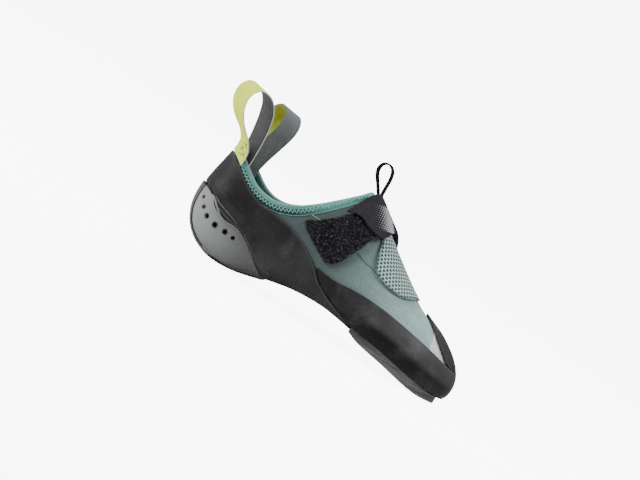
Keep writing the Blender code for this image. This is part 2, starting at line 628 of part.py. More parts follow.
def make_collar_binding(material):
    """A U-shaped band over the collar's edge, all round the opening."""
    front = COLLAR_STATIONS / STATIONS
    rows = ALONG_ROWS[ALONG_ROWS <= front]
    rows = np.concatenate([rows[:-9], np.linspace(rows[-9], front, 17)])
    rim = [(row, 1.0) for row in rows]
    feet = {side: beside(side, rim, side * BINDING_WIDTH) for side in (OUTER, INNER)}
    # At the front the feet point forward along the ridge
    ahead = last_point(OUTER, np.array((front, front + 0.02)), np.ones(2))
    reach = 0.02 * BINDING_WIDTH / np.linalg.norm(ahead[1] - ahead[0])
    feet[OUTER][-1] = (front + reach, 1.0)
    run = [(OUTER, edge, foot) for edge, foot in zip(rim[:0:-1], feet[OUTER][:0:-1])]
    run += [(INNER, edge, foot) for edge, foot in zip(rim[:-1], feet[INNER][:-1])]
    outer = (BINDING_THICK - UPPER_WALL) / 2
    inner = -UPPER_WALL - outer
    build = bmesh.new()
    loops = []
    for side, edge, foot in run:
        rise = last_point(side, *np.array(edge)) - last_point(side, *np.array(foot))
        rise /= np.linalg.norm(rise)
        profile = (
            (foot, BINDING_GAP, 0),
            (foot, outer, 0),
            (edge, outer, 0),
            (edge, -UPPER_WALL / 2, outer),
            (edge, inner, 0),
            (foot, inner, 0),
            (foot, -UPPER_WALL - BINDING_GAP, 0),
            (edge, -UPPER_WALL - BINDING_GAP, GAP),
            (edge, BINDING_GAP, GAP),
        )
        ring = [skin_point(side, *at, offset) + rise * over for at, offset, over in profile]
        loops.append([build.verts.new(point) for point in ring])
    for first, second in zip(loops, loops[1:] + loops[:1]):
        for i in range(len(first)):
            j = (i + 1) % len(first)
            build.faces.new((first[i], first[j], second[j], second[i]))
    bmesh.ops.recalc_face_normals(build, faces=build.faces)
    mesh = bpy.data.meshes.new("collar_binding")
    build.to_mesh(mesh)
    build.free()
    return finish("collar_binding", mesh, material)


def ribbon(name, middles, across, thickness, material):
    """A flat tape along a line of points, `across` being half its width at each of them."""
    forward = np.gradient(middles, axis=0)
    flat = np.cross(forward, across)
    flat *= thickness / 2 / np.linalg.norm(flat, axis=-1, keepdims=True)
    points = np.stack([middles - across, middles, middles + across], 1)
    lift = flat[:, None, :]
    return finish(name, shell_mesh(name, [points - lift], [points + lift]), material)


def make_pull_loop(name, side, turns, height, material):
    """A webbing loop, sewn outside the collar at the heel's corner and inside it again."""
    station = np.array(LOOP_STATION)
    step = 0.03
    rim = last_point(side, station, np.array(1.0))
    along_rim = last_point(side, station + step, np.array(1.0)) - last_point(side, station - step, np.array(1.0))
    along_rim /= np.linalg.norm(along_rim)
    out = np.cross(along_rim, (0, 0, 1)) * -side
    out *= -1 if out @ normal_of(side, station, np.array(0.9)) < 0 else 1
    out /= np.linalg.norm(out)
    shares = through([row for row in turns.values()], np.linspace(0, 1, 33))
    middles = rim + height * (
        shares[:, :1] * out + shares[:, 1:2] * np.array((0, 0, 1.0)) + shares[:, 2:] * along_rim
    )
    level = along_rim * (1, 1, 0.25)
    level /= np.linalg.norm(level)
    rise = np.clip(shares[:, 1:2] / 0.6, 0, 1)
    across = along_rim * (1 - rise) + level * rise
    across *= WEBBING_WIDTH / 2 / np.linalg.norm(across, axis=-1, keepdims=True)
    return ribbon(name, middles, across, WEBBING_THICK, material)


def make_tongue_loop(material):
    start = last_point(OUTER, np.array(0.503), np.array(1.0))
    foot = start + np.array((0, 0, (BINDING_THICK - UPPER_WALL) / 2 + 3 * GAP + TAPE_THICK))
    turns = through([row for row in TAPE_TURNS.values()], np.linspace(0, 1, 25))
    middles = foot + TAPE_LOOP_HEIGHT * np.stack([turns[:, 0], 0 * turns[:, 0], turns[:, 1]], -1)
    across = np.tile((0, TAPE_WIDTH / 2, 0), (len(middles), 1))
    return ribbon("tongue_loop", middles, across, TAPE_THICK, material)


def keep_aside(helper, name):
    """Puts a cutter in its own collection, out of the render."""
    helper.name = name
    for collection in list(helper.users_collection):
        collection.objects.unlink(helper)
    CUTTERS.objects.link(helper)
    helper.hide_render = True
    helper.display_type = "WIRE"


def materials():
    """One plain material for each finish that the shoe shows."""
    finishes = {
        "microfibre": ((0.135, 0.235, 0.225), 0.85),
        "knit": ((0.180, 0.300, 0.280), 0.90),
        "rib": ((0.160, 0.360, 0.320), 0.90),
        "rubber": ((0.018, 0.018, 0.019), 0.55),
        "heel rubber": ((0.110, 0.120, 0.120), 0.45),
        "outsole rubber": ((0.028, 0.028, 0.030), 0.65),
        "insole": ((0.045, 0.050, 0.050), 0.90),
        "strap": ((0.050, 0.048, 0.055), 0.70),
        "loop pile": ((0.006, 0.006, 0.008), 0.95),
        "webbing": ((0.620, 0.720, 0.240), 0.75),
        "tape": ((0.008, 0.010, 0.010), 0.75),
    }
    made = {}
    for name, (colour, roughness) in finishes.items():
        material = bpy.data.materials.new(name)
        material.use_nodes = True
        shader = material.node_tree.nodes["Principled BSDF"]
        shader.inputs["Base Color"].default_value = (*colour, 1)
        shader.inputs["Roughness"].default_value = roughness
        shader.inputs["Metallic"].default_value = 0
        made[name] = material
    return made


def main():
    for item in list(bpy.data.objects):
        bpy.data.objects.remove(item, do_unlink=True)
    bpy.context.scene.collection.children.link(PARTS)
    bpy.context.scene.collection.children.link(CUTTERS)
    bpy.ops.mesh.primitive_cube_add(size=1, location=(LAST_LENGTH / 2, 0, -LAST_LENGTH / 2))
    floor = bpy.context.object
    floor.scale = (3 * LAST_LENGTH, 2 * LAST_LENGTH, LAST_LENGTH)
    bpy.ops.object.transform_apply(location=False, rotation=False, scale=True)
    keep_aside(floor, "floor cutter")
    finish_of = materials()
    make_upper(finish_of["microfibre"])
    make_insole(finish_of["insole"])
    make_outsole(finish_of["outsole rubber"], floor)
    make_instep_panel(finish_of["knit"])
    make_heel_sling(finish_of["rubber"])
    make_toe_rand(finish_of["rubber"])
    make_toe_patch(finish_of["rubber"])
    make_heel_cup(finish_of["heel rubber"], OUTER, "heel_cup_outer", list(zip(VENTS, VENT_RADII)))
    make_heel_cup(finish_of["heel rubber"], INNER, "heel_cup_inner")
    make_heel_band(finish_of["rubber"], floor)
    make_strap_pad(finish_of["loop pile"])
    make_strap(finish_of["strap"])
    make_collar_binding(finish_of["rib"])
    make_pull_loop("pull_loop_outer", OUTER, OUTER_LOOP, LOOP_OUTER_HEIGHT, finish_of["webbing"])
    make_pull_loop("pull_loop_inner", INNER, INNER_LOOP, LOOP_INNER_HEIGHT, finish_of["webbing"])
    make_tongue_loop(finish_of["tape"])


PARTS = bpy.data.collections.new("Climbing shoe")
CUTTERS = bpy.data.collections.new("Cutters")

if __name__ == "__main__":
    main()
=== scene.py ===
# %% [markdown]
# # A climbing shoe in Blender
#
# The CAD model gives this shoe its solids: a hollow upper, rubber skins glued over it, a strap, a
# knit panel and three loops. This lesson dresses them. Each solid is copied, its edges are rounded,
# and it gets a finish made of nodes. Then come the things that a shoemaker adds last: stitches,
# cords, piping and the curly pile of the closure. Lengths are in metres throughout.

# %% Load the solids
import math

import bmesh
import bpy
import numpy as np
from mathutils import Matrix, Vector
from mathutils.bvhtree import BVHTree
from mathutils.kdtree import KDTree


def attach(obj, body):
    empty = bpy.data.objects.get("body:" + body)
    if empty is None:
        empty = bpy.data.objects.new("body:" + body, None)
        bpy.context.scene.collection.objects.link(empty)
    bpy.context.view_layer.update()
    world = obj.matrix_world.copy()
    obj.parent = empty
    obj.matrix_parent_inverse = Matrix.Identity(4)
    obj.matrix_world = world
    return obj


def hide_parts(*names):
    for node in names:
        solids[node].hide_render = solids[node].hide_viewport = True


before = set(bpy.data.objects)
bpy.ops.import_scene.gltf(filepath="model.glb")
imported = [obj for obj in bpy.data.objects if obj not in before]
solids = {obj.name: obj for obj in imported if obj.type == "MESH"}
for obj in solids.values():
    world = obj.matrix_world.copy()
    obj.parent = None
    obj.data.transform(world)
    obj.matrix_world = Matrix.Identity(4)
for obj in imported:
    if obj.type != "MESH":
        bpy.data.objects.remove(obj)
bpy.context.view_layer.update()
MM = 0.001

# %% [markdown]
# ## Camera, room and light
#
# The photograph was taken from the shoe's outer side with a long lens, and the picture was then
# turned until the toe pointed down. A camera does the same when it stands far off, a little above
# the floor, and is rolled. One function turns a place in the picture into a place beside the shoe,
# and the camera and later the seams are both placed with it.

# %% Camera
TURN, RISE, ROLL = math.radians(10), math.radians(4), math.radians(32.775)
HEEL_IN_PICTURE = (212.0, 258.5)
PICTURE_SIZE = (640, 480)
PICTURE_STEP = 0.81 * MM
to_right = Vector((math.cos(TURN), math.sin(TURN), 0))
ahead = Vector((-math.sin(TURN) * math.cos(RISE), math.cos(TURN) * math.cos(RISE), -math.sin(RISE)))
to_top = to_right.cross(ahead)


def in_picture(x, y):
    """The place beside the shoe that the photograph shows at x, y."""
    dx = (x - HEEL_IN_PICTURE[0]) * PICTURE_STEP
    dy = (y - HEEL_IN_PICTURE[1]) * PICTURE_STEP
    across = dx * math.cos(ROLL) + dy * math.sin(ROLL)
    high = dx * math.sin(ROLL) - dy * math.cos(ROLL)
    return to_right * across + to_top * high


def put_in_scene(name, data):
    """A new object that holds the data."""
    made = bpy.data.objects.new(name, data)
    bpy.context.scene.collection.objects.link(made)
    return made


LENS, SENSOR = 200.0, 36.0
distance = PICTURE_SIZE[0] * PICTURE_STEP * LENS / SENSOR
camera = put_in_scene("studio_camera", bpy.data.cameras.new("studio_camera"))
camera.data.lens, camera.data.sensor_width, camera.data.clip_end = LENS, SENSOR, 60
rolled_right = to_right * math.cos(ROLL) + to_top * math.sin(ROLL)
rolled_top = to_top * math.cos(ROLL) - to_right * math.sin(ROLL)
place = in_picture(PICTURE_SIZE[0] / 2, PICTURE_SIZE[1] / 2) - ahead * distance
axes = Matrix((rolled_right, rolled_top, -ahead)).transposed()
camera.matrix_world = Matrix.Translation(place) @ axes.to_4x4()
bpy.context.scene.camera = camera
print("camera %.2f m away, %.0f mm above the floor" % (distance, place.z / MM))

# %% [markdown]
# A plain studio is a floor that rolls up into a wall on all sides, so no horizon shows from any
# side. It starts as a ring that is extruded outwards and upwards, and is filled last. The paper
# is overexposed, as in a shop's picture: it glows for the camera alone, so it casts no light of its
# own. A soft lamp hangs over the toe, a smaller one stands behind the heel, and a wide, weak one
# fills from the far side.

# %% Floor and lamps


def deselect_all():
    """Operators act on all that is selected, so each step starts with nothing selected."""
    if bpy.context.mode != "OBJECT":
        bpy.ops.object.mode_set(mode="OBJECT")
    bpy.ops.object.select_all(action="DESELECT")


def nodes_for(tree, kind, inputs=None, **settings):
    """One node in a tree, with its settings and what goes into its sockets."""
    made = tree.nodes.new(kind)
    for name, value in settings.items():
        setattr(made, name, value)
    for name, value in (inputs or {}).items():
        if isinstance(value, bpy.types.NodeSocket):
            tree.links.new(value, made.inputs[name])
        else:
            made.inputs[name].default_value = value
    return made


FLOOR_RADIUS, WALL_CURVE, WALL_STEPS = 4.5, 2.0, 8
deselect_all()
bpy.ops.mesh.primitive_circle_add(vertices=72, radius=FLOOR_RADIUS)
floor = bpy.context.object
floor.name = "studio_floor"
bpy.ops.object.mode_set(mode="EDIT")
bpy.ops.mesh.select_mode(type="EDGE")
bpy.ops.mesh.select_all(action="SELECT")
for step in range(WALL_STEPS):
    low, high = (number * math.pi / 2 / WALL_STEPS for number in (step, step + 1))
    spread = (FLOOR_RADIUS + WALL_CURVE * math.sin(high)) / (FLOOR_RADIUS + WALL_CURVE * math.sin(low))
    climb = WALL_CURVE * (math.cos(low) - math.cos(high))
    bpy.ops.mesh.extrude_region_move(TRANSFORM_OT_translate={"value": (0, 0, climb)})
    bpy.ops.transform.resize(value=(spread, spread, 1))
bpy.ops.mesh.select_all(action="DESELECT")
bpy.ops.object.mode_set(mode="OBJECT")
for edge in floor.data.edges:
    edge.select = all(floor.data.vertices[corner].co.z < MM for corner in edge.vertices)
bpy.ops.object.mode_set(mode="EDIT")
bpy.ops.mesh.edge_face_add()
bpy.ops.object.mode_set(mode="OBJECT")
bpy.ops.object.shade_smooth()
paper = bpy.data.materials.new("studio paper")
paper.use_nodes = True
paper_shader = paper.node_tree.nodes["Principled BSDF"]
paper_grain = nodes_for(paper.node_tree, "ShaderNodeTexNoise", {"Scale": 3.0, "Detail": 3.0})
paper_tone = nodes_for(
    paper.node_tree, "ShaderNodeMapRange", {"Value": paper_grain.outputs[0], "To Min": 0.86, "To Max": 0.90}
)
paper.node_tree.links.new(paper_tone.outputs[0], paper_shader.inputs["Base Color"])
paper_shader.inputs["Roughness"].default_value = 0.9
paper_shader.inputs["Emission Strength"].default_value = 7.5
glow = nodes_for(paper.node_tree, "ShaderNodeLightPath").outputs["Is Camera Ray"]
paper.node_tree.links.new(glow, paper_shader.inputs["Emission Color"])
floor.data.materials.append(paper)


def lamp(name, position, aim, size, power):
    """A square soft lamp that looks at a point."""
    light = bpy.data.lights.new(name, "AREA")
    light.shape, light.size, light.energy = "SQUARE", size, power
    look = (Vector(aim) - Vector(position)).to_track_quat("-Z", "Y").to_matrix().to_4x4()
    put_in_scene(name, light).matrix_world = Matrix.Translation(position) @ look


lamp("softbox over the toe", (0.75, 0.0, 1.05), (0.14, 0, 0.04), 0.6, 17)
lamp("softbox behind the heel", (-1.05, -0.60, 0.75), (-0.02, 0, 0.07), 0.5, 25)
lamp("softbox of the far side", (-0.2, 1.2, 1.2), (0.05, 0, 0.05), 1.0, 8)
sky = bpy.data.worlds.new("studio sky")
sky.use_nodes = True
sky.node_tree.nodes["Background"].inputs["Color"].default_value = (0.95, 0.97, 1.0, 1)
sky.node_tree.nodes["Background"].inputs["Strength"].default_value = 0.42
bpy.context.scene.world = sky
print("floor of", len(floor.data.polygons), "faces, three lamps and a sky")

# %% [markdown]
# ## Effects that several finishes share
#
# Real materials are never one flat colour. Each effect here is a node group with named inputs, made
# once and placed in every material that needs it. `cloudy` varies a value slowly over a surface.
# `woven` is a plain weave on a flat map measured in metres, `ribbed` the loops of a knit edging, and
# `eyelets` the rows of small holes in a spacer mesh. `scuffed` is the pale dust and fine scratches
# that rubber picks up.

# %% Node groups


def group(name, numbers, outputs):
    """A node group that reads a vector and some numbers. Returns its tree, inputs and outputs."""
    tree = bpy.data.node_groups.new(name, "ShaderNodeTree")
    tree.interface.new_socket("Vector", in_out="INPUT", socket_type="NodeSocketVector")
    for title, value in numbers.items():
        tree.interface.new_socket(title, in_out="INPUT", socket_type="NodeSocketFloat").default_value = value
    for title in outputs:
        tree.interface.new_socket(title, in_out="OUTPUT", socket_type="NodeSocketFloat")
    return tree, tree.nodes.new("NodeGroupInput").outputs, tree.nodes.new("NodeGroupOutput").inputs


def tree_of(*values):
    """The node tree that the sockets among these values belong to."""
    return next(value.id_data for value in values if isinstance(value, bpy.types.NodeSocket))


def join(value, socket):
    """What one socket tells goes into another."""
    tree_of(value).links.new(value, socket)


def calc(operation, *values):
    """A Math node's result."""
    inputs = dict(enumerate(values))
    return nodes_for(tree_of(*values), "ShaderNodeMath", inputs, operation=operation).outputs[0]


def ramp(value, low, high, start=0.0, end=1.0):
    """The value carried from low..high to start..end, smoothly."""
    values = {"Value": value, "From Min": low, "From Max": high, "To Min": start, "To Max": end}
    return nodes_for(tree_of(value), "ShaderNodeMapRange", values, interpolation_type="SMOOTHSTEP").outputs[0]


def times(first, second):
    return calc("MULTIPLY", first, second)


def plus(first, second):
    return calc("ADD", first, second)


def minus(first, second):
    return calc("SUBTRACT", first, second)


def wave(value):
    """A row of round humps, one for each whole number."""
    return calc("ABSOLUTE", calc("SINE", times(value, math.pi)))


def far_from_middle(x, y):
    return calc("SQRT", plus(times(x, x), times(y, y)))


def axis_of(vector, axis):
    """One of a vector's three numbers."""
    return nodes_for(tree_of(vector), "ShaderNodeSeparateXYZ", {0: vector}).outputs[axis]


def noise(vector, scale, detail, distortion=0.0):
    inputs = {"Vector": vector, "Scale": scale, "Detail": detail, "Distortion": distortion}
    return nodes_for(tree_of(vector), "ShaderNodeTexNoise", inputs).outputs[0]


def stretched(vector, scale):
    """Places whose axes count unequally, so that noise becomes streaks."""
    return nodes_for(tree_of(vector), "ShaderNodeMapping", {"Vector": vector, "Scale": scale}).outputs[0]


def attribute_of(tree, name):
    """A number that each point of the mesh carries."""
    return nodes_for(tree, "ShaderNodeAttribute", attribute_name=name).outputs["Fac"]


def staggered(x, y):
    """A place's offsets from the middle of its cell, where every other row is moved by half a cell."""
    shift = times(calc("PINGPONG", calc("FLOOR", y), 1.0), 0.5)
    return [minus(calc("FRACT", value), 0.5) for value in (plus(x, shift), y)]


cloudy, given, told = group("cloudy", {"Scale": 50.0, "High": 1.0}, ["Value"])
clouds = noise(given["Vector"], given["Scale"], 4.0)
join(ramp(clouds, 0.3, 0.7, 0.0, given["High"]), told["Value"])

woven, given, told = group("woven", {"Threads": 1500.0, "Slant": 0.0}, ["Height"])
along = times(axis_of(given["Vector"], 0), given["Threads"])
over = times(axis_of(given["Vector"], 1), given["Threads"])
over = plus(over, times(along, given["Slant"]))
turn = calc("PINGPONG", plus(calc("FLOOR", along), calc("FLOOR", over)), 1.0)
weft = times(wave(over), minus(1.0, turn))
join(plus(times(wave(along), turn), weft), told["Height"])

ribbed, given, told = group("ribbed", {"Ribs": 900.0, "Rows": 700.0}, ["Height"])
along = times(axis_of(given["Vector"], 0), given["Ribs"])
over = times(axis_of(given["Vector"], 1), given["Rows"])
slant = calc("ABSOLUTE", minus(calc("FRACT", over), 0.5))
leg = wave(plus(along, times(slant, 1.1)))
purl = plus(times(wave(over), 0.6), 0.4)
join(times(leg, purl), told["Height"])

eyelets, given, told = group("eyelets", {"Count": 350.0, "Size": 0.3}, ["Hole", "Height"])
along = times(axis_of(given["Vector"], 0), given["Count"])
over = times(axis_of(given["Vector"], 1), times(given["Count"], 1.25))
cell_x, cell_y = staggered(along, over)
reach = far_from_middle(cell_x, times(cell_y, 0.75))
open_part = ramp(reach, times(given["Size"], 0.7), given["Size"], 1.0, 0.0)
join(open_part, told["Hole"])
join(ramp(reach, 0.1, 0.45), told["Height"])

scuffed, given, told = group("scuffed", {"Amount": 0.3}, ["Dust", "Height"])
smears = noise(given["Vector"], 34.0, 5.0, 0.6)
specks = noise(given["Vector"], 1400.0, 3.0)
scratches = noise(stretched(given["Vector"], (120.0, 900.0, 1500.0)), 1.0, 2.0)
scratch = ramp(scratches, 0.62, 0.70)
fine = plus(ramp(specks, 0.45, 0.75), 0.35)
dust = times(ramp(smears, 0.48, 0.72), fine)
dust = plus(dust, times(scratch, 0.25))
join(times(dust, given["Amount"]), told["Dust"])
relief = plus(times(specks, 0.7), times(scratch, -0.3))
join(relief, told["Height"])
print("node groups:", [tree.name for tree in bpy.data.node_groups])

# %% [markdown]
# ## Finishes
#
# A finish is a Principled shader fed by these effects. The first helper makes the material and hands
# back what every finish needs: its tree, its shader and the places of its surface, on the object and
# on its flat map. The others place a node group, mix two colours, and join a height to the shader's
# normal.

# %% Helpers for finishes


def new_finish(name, roughness, sheen=0.0, sheen_tint=None, specular=0.5):
    """A material, its tree and shader, and the places of its surface."""
    material = bpy.data.materials.new(name)
    material.use_nodes = True
    tree = material.node_tree
    shader = tree.nodes["Principled BSDF"]
    shader.inputs["Roughness"].default_value = roughness
    shader.inputs["Specular IOR Level"].default_value = specular
    shader.inputs["Sheen Weight"].default_value = sheen
    shader.inputs["Sheen Roughness"].default_value = 0.5
    if sheen_tint:
        shader.inputs["Sheen Tint"].default_value = (*sheen_tint, 1)
    where = tree.nodes.new("ShaderNodeTexCoord")
    return material, tree, shader, where.outputs["Object"], where.outputs["UV"]


def use(effect, **values):
    """A group node in a material."""
    return nodes_for(tree_of(*values.values()), "ShaderNodeGroup", values, node_tree=effect).outputs


def clouds_on(where, scale, high=1.0):
    return use(cloudy, Vector=where, Scale=scale, High=high)["Value"]


def blend_colours(share, first, second):
    """Two colours mixed by a share."""
    tree = tree_of(share)
    made = nodes_for(tree, "ShaderNodeMix", data_type="RGBA")
    for name, value in (("Factor", share), ("A", first), ("B", second)):
        socket = made.inputs[name]
        if isinstance(value, bpy.types.NodeSocket):
            tree.links.new(value, socket)
        elif isinstance(value, tuple):
            socket.default_value = (*value, 1)
        else:
            socket.default_value = value
    return made.outputs["Result"]


def raise_surface(shader, height, depth):
    """Height 0..1 raises the surface by up to depth."""
    inputs = {"Height": height, "Distance": depth, "Strength": 1.0}
    bumped = nodes_for(tree_of(height), "ShaderNodeBump", inputs)
    join(bumped.outputs[0], shader.inputs["Normal"])


# %% [markdown]
# The upper is brushed microfibre: a sage green with a soft bloom, cloudy where the nap lies over,
# with fine fibres. Painted shade darkens it slowly towards the heel, more on the near side. Its
# inside is a darker brushed lining. Sheen gives the bloom at grazing angles.

# %% Microfibre and lining
microfibre, tree, shader, at_object, at_map = new_finish("microfibre", 0.86, 0.35, (0.75, 0.95, 0.92), 0.25)
nap = clouds_on(at_object, 70.0)
fibre = noise(at_object, 1900.0, 4.0)
sage = blend_colours(nap, (0.205, 0.320, 0.300), (0.255, 0.380, 0.358))
sage = blend_colours(ramp(fibre, 0.35, 0.65, 0.0, 0.45), sage, (0.350, 0.470, 0.448))
fleck = clouds_on(at_object, 520.0, 0.35)
sage = blend_colours(fleck, sage, (0.075, 0.130, 0.122))
# painted shade: the upper darkens towards the heel, fully on the near side and less on the far side
painted_shade_to_heel = ramp(axis_of(at_object, 0), 0.070, 0.195, 0.96, 0.0)
painted_shade_by_side = ramp(axis_of(at_object, 1), -0.010, 0.022, 1.0, 0.65)
sage = blend_colours(times(painted_shade_to_heel, painted_shade_by_side), sage, (0.033, 0.050, 0.048))
glued = attribute_of(tree, "glue")
sage = blend_colours(ramp(glued, 0.56, 0.74), sage, (0.004, 0.005, 0.005))
join(sage, shader.inputs["Base Color"])
join(ramp(fibre, 0.3, 0.7, 0.78, 0.95), shader.inputs["Roughness"])
raise_surface(shader, fibre, 0.00018)

lining, tree, shader, at_object, at_map = new_finish("lining", 0.92, 0.3, (0.5, 0.9, 0.85), 0.2)
pile = nodes_for(tree, "ShaderNodeTexVoronoi", {"Vector": at_object, "Scale": 900.0}).outputs["Distance"]
teal = blend_colours(ramp(pile, 0.1, 0.7), (0.060, 0.150, 0.135), (0.028, 0.078, 0.072))
join(teal, shader.inputs["Base Color"])
raise_surface(shader, minus(1.0, pile), 0.0003)
print("made", microfibre.name, "and", lining.name)

# %% [markdown]
# The edging of the collar is a ribbed knit in a brighter teal. The panel over the instep is a spacer
# mesh: a pale knit with rows of small dark holes that let the foot breathe.

# %% Edging and mesh
edging, tree, shader, at_object, at_map = new_finish("knit edging", 0.88, 0.4, (0.7, 1.0, 0.95), 0.2)
loops_high = use(ribbed, Vector=at_map, Ribs=620.0, Rows=720.0)["Height"]
wander = clouds_on(at_object, 140.0)
to_front = axis_of(at_object, 0)
bright = blend_colours(wander, (0.120, 0.360, 0.305), (0.190, 0.470, 0.410))
# painted shade: the edging darkens towards the heel, as the upper does
bright = blend_colours(ramp(to_front, 0.035, 0.070, 0.75, 0.0), bright, (0.060, 0.190, 0.165))
bright = blend_colours(ramp(loops_high, 0.02, 0.45, 0.75, 0.0), bright, (0.045, 0.145, 0.125))
join(bright, shader.inputs["Base Color"])
raise_surface(shader, loops_high, 0.0005)

spacer_mesh, tree, shader, at_object, at_map = new_finish("spacer mesh", 0.85, 0.3, (0.8, 1.0, 0.97), 0.25)
holes = use(eyelets, Vector=at_map, Count=262.0, Size=0.42)
yarn = use(ribbed, Vector=at_map, Ribs=1600.0, Rows=1100.0)["Height"]
pale = blend_colours(yarn, (0.290, 0.410, 0.385), (0.580, 0.720, 0.690))
pale = blend_colours(holes["Hole"], pale, (0.008, 0.036, 0.034))
join(pale, shader.inputs["Base Color"])
raised = plus(times(holes["Height"], 0.7), times(yarn, 0.3))
raise_surface(shader, raised, 0.0007)
print("made", edging.name, "and", spacer_mesh.name)

# %% [markdown]
# The rubber is soft and matte. Rolled sheet is black with a faint grain and a little dust. Along a
# cut edge a shoemaker roughens it with a grinding wheel, so each rubber piece carries an attribute,
# `to_edge`, that says how far a point is from its own edge, and a pale band follows from it. On the
# rand a dark band above its ground band is painted shadow, and the rand darkens towards the heel as
# painted shade. The moulded heel is a smoother grey with painted light: paler low down at the back,
# darker up towards the front.

# %% Rubbers


def rubber_finish(name, dark, light, roughness, dust, ground, banded=False, gloss=0.15):
    """Rolled rubber: colour, dust, ground edges, and for the rand a ground band above the sole, a painted
    shadow band and painted shade towards the heel.
    """
    made, tree, shader, at_object, _ = new_finish(name, roughness, specular=gloss)
    tone = clouds_on(at_object, 24.0)
    worn = use(scuffed, Vector=at_object, Amount=dust)
    edge = attribute_of(tree, "to_edge")
    near = ramp(edge, 0.0006, 0.0021, 1.0, 0.0)
    colour = blend_colours(tone, dark, light)
    colour = blend_colours(times(near, ground), colour, (0.150, 0.150, 0.150))
    if banded:
        from_sole = attribute_of(tree, "to_sole")
        run = stretched(at_object, (60.0, 60.0, 1800.0))
        marks = ramp(noise(run, 1.0, 3.0), 0.35, 0.65)
        buffed = blend_colours(marks, (0.045, 0.045, 0.045), (0.135, 0.135, 0.135))
        # painted shadow: a near-black band above the ground band, where the rand turns under towards the sole
        shadow = blend_colours(ramp(from_sole, 0.0120, 0.0180), (0.002, 0.002, 0.0025), colour)
        colour = blend_colours(ramp(from_sole, 0.0028, 0.0042), buffed, shadow)
        # painted shade: the rand darkens to near black towards the heel
        to_toe = ramp(axis_of(at_object, 0), 0.100, 0.170, 0.95, 0.0)
        colour = blend_colours(to_toe, colour, (0.004, 0.004, 0.0045))
    colour = blend_colours(worn["Dust"], colour, (0.34, 0.335, 0.32))
    join(colour, shader.inputs["Base Color"])
    rough = plus(roughness - 0.05, times(worn["Dust"], 0.5))
    join(plus(rough, times(near, 0.2)), shader.inputs["Roughness"])
    raise_surface(shader, worn["Height"], 0.00012)
    return made


sheet_rubber = rubber_finish("sheet rubber", (0.006, 0.0055, 0.006), (0.020, 0.020, 0.020), 0.55, 0.10, 0.12)
rand_rubber = rubber_finish("rand rubber", (0.026, 0.026, 0.027), (0.050, 0.050, 0.051), 0.55, 0.14, 0.12,
                            banded=True)
# Black rubber for the lens recess; the same finish gives painted shade in the cup joints and vent rings.
black_rubber_and_painted_shade = rubber_finish("black rubber and painted shade", (0.004, 0.004, 0.004), (0.009, 0.009, 0.009), 0.45, 0.03, 0.0,
                              gloss=0.3)
band_rubber = rubber_finish("band rubber", (0.030, 0.031, 0.031), (0.056, 0.057, 0.057), 0.50, 0.12, 0.20,
                            gloss=0.25)

moulded, tree, shader, at_object, at_map = new_finish("moulded rubber", 0.42, specular=0.45)
# painted light: the grey is paler low down at the back and darker up towards the front, where it meets the
# sling
up_and_forward = plus(times(axis_of(at_object, 2), 0.6), axis_of(at_object, 0))
shade = ramp(up_and_forward, -0.020, 0.046)
worn = use(scuffed, Vector=at_object, Amount=0.06)
grey = blend_colours(shade, (0.215, 0.228, 0.224), (0.050, 0.052, 0.052))
grey = blend_colours(worn["Dust"], grey, (0.40, 0.40, 0.39))
join(grey, shader.inputs["Base Color"])
raise_surface(shader, worn["Height"], 0.00006)
print("made", [material.name for material in (sheet_rubber, rand_rubber, band_rubber, moulded)])

# %% [markdown]
# The sole is thicker sheet, ground flat round its side after gluing. The wheel leaves fine lines that
# run round the edge, so they follow the height above the floor.

# %% Sole rubber
sole_rubber, tree, shader, at_object, at_map = new_finish("sole rubber", 0.7, specular=0.35)
facing = nodes_for(tree, "ShaderNodeNewGeometry").outputs["Normal"]
on_side = ramp(calc("ABSOLUTE", axis_of(facing, 2)), 0.45, 0.75, 1.0, 0.0)
run = stretched(at_object, (22.0, 22.0, 2300.0))
lines = noise(run, 1.0, 3.0)
worn = use(scuffed, Vector=at_object, Amount=0.35)
ground = blend_colours(ramp(lines, 0.35, 0.65), (0.050, 0.050, 0.051), (0.150, 0.149, 0.148))
under = blend_colours(worn["Dust"], (0.022, 0.022, 0.023), (0.28, 0.27, 0.255))
to_toe = axis_of(at_object, 0)
# painted shade: the sole's ground side darkens towards the heel
ground = blend_colours(ramp(to_toe, 0.110, 0.180, 0.75, 0.0), ground, (0.012, 0.012, 0.012))
join(blend_colours(on_side, under, ground), shader.inputs["Base Color"])
relief = plus(times(lines, on_side), times(worn["Height"], 0.5))
raise_surface(shader, relief, 0.00018)
print("made", sole_rubber.name)

# %% [markdown]
# The strap is charcoal cloth with a fine twill. Where it crosses the instep it carries a pale print,
# here a plain field of dots that grow towards one end. A print changes the colour only, and it reads a
# map of its own, measured in metres from the middle of the field. The webbing of the pull loops is
# woven in two layers, pale yellow green on one side and grey on the other. Thread, tape and the pile
# of the closure complete the list.

# %% Cloth


def cloth_finish(name, dark, light, threads, slant, roughness=0.8, sheen=0.2, depth=0.0003, gloss=0.2):
    """A woven cloth on the piece's own map."""
    made, tree, shader, at_object, at_map = new_finish(name, roughness, sheen, specular=gloss)
    weave = use(woven, Vector=at_map, Threads=threads, Slant=slant)
    lint = clouds_on(at_object, 260.0, 0.35)
    colour = blend_colours(weave["Height"], dark, light)
    colour = blend_colours(lint, colour, tuple(min(1.0, 1.35 * part) for part in light))
    join(colour, shader.inputs["Base Color"])
    raise_surface(shader, weave["Height"], depth)
    return made, tree, shader, colour


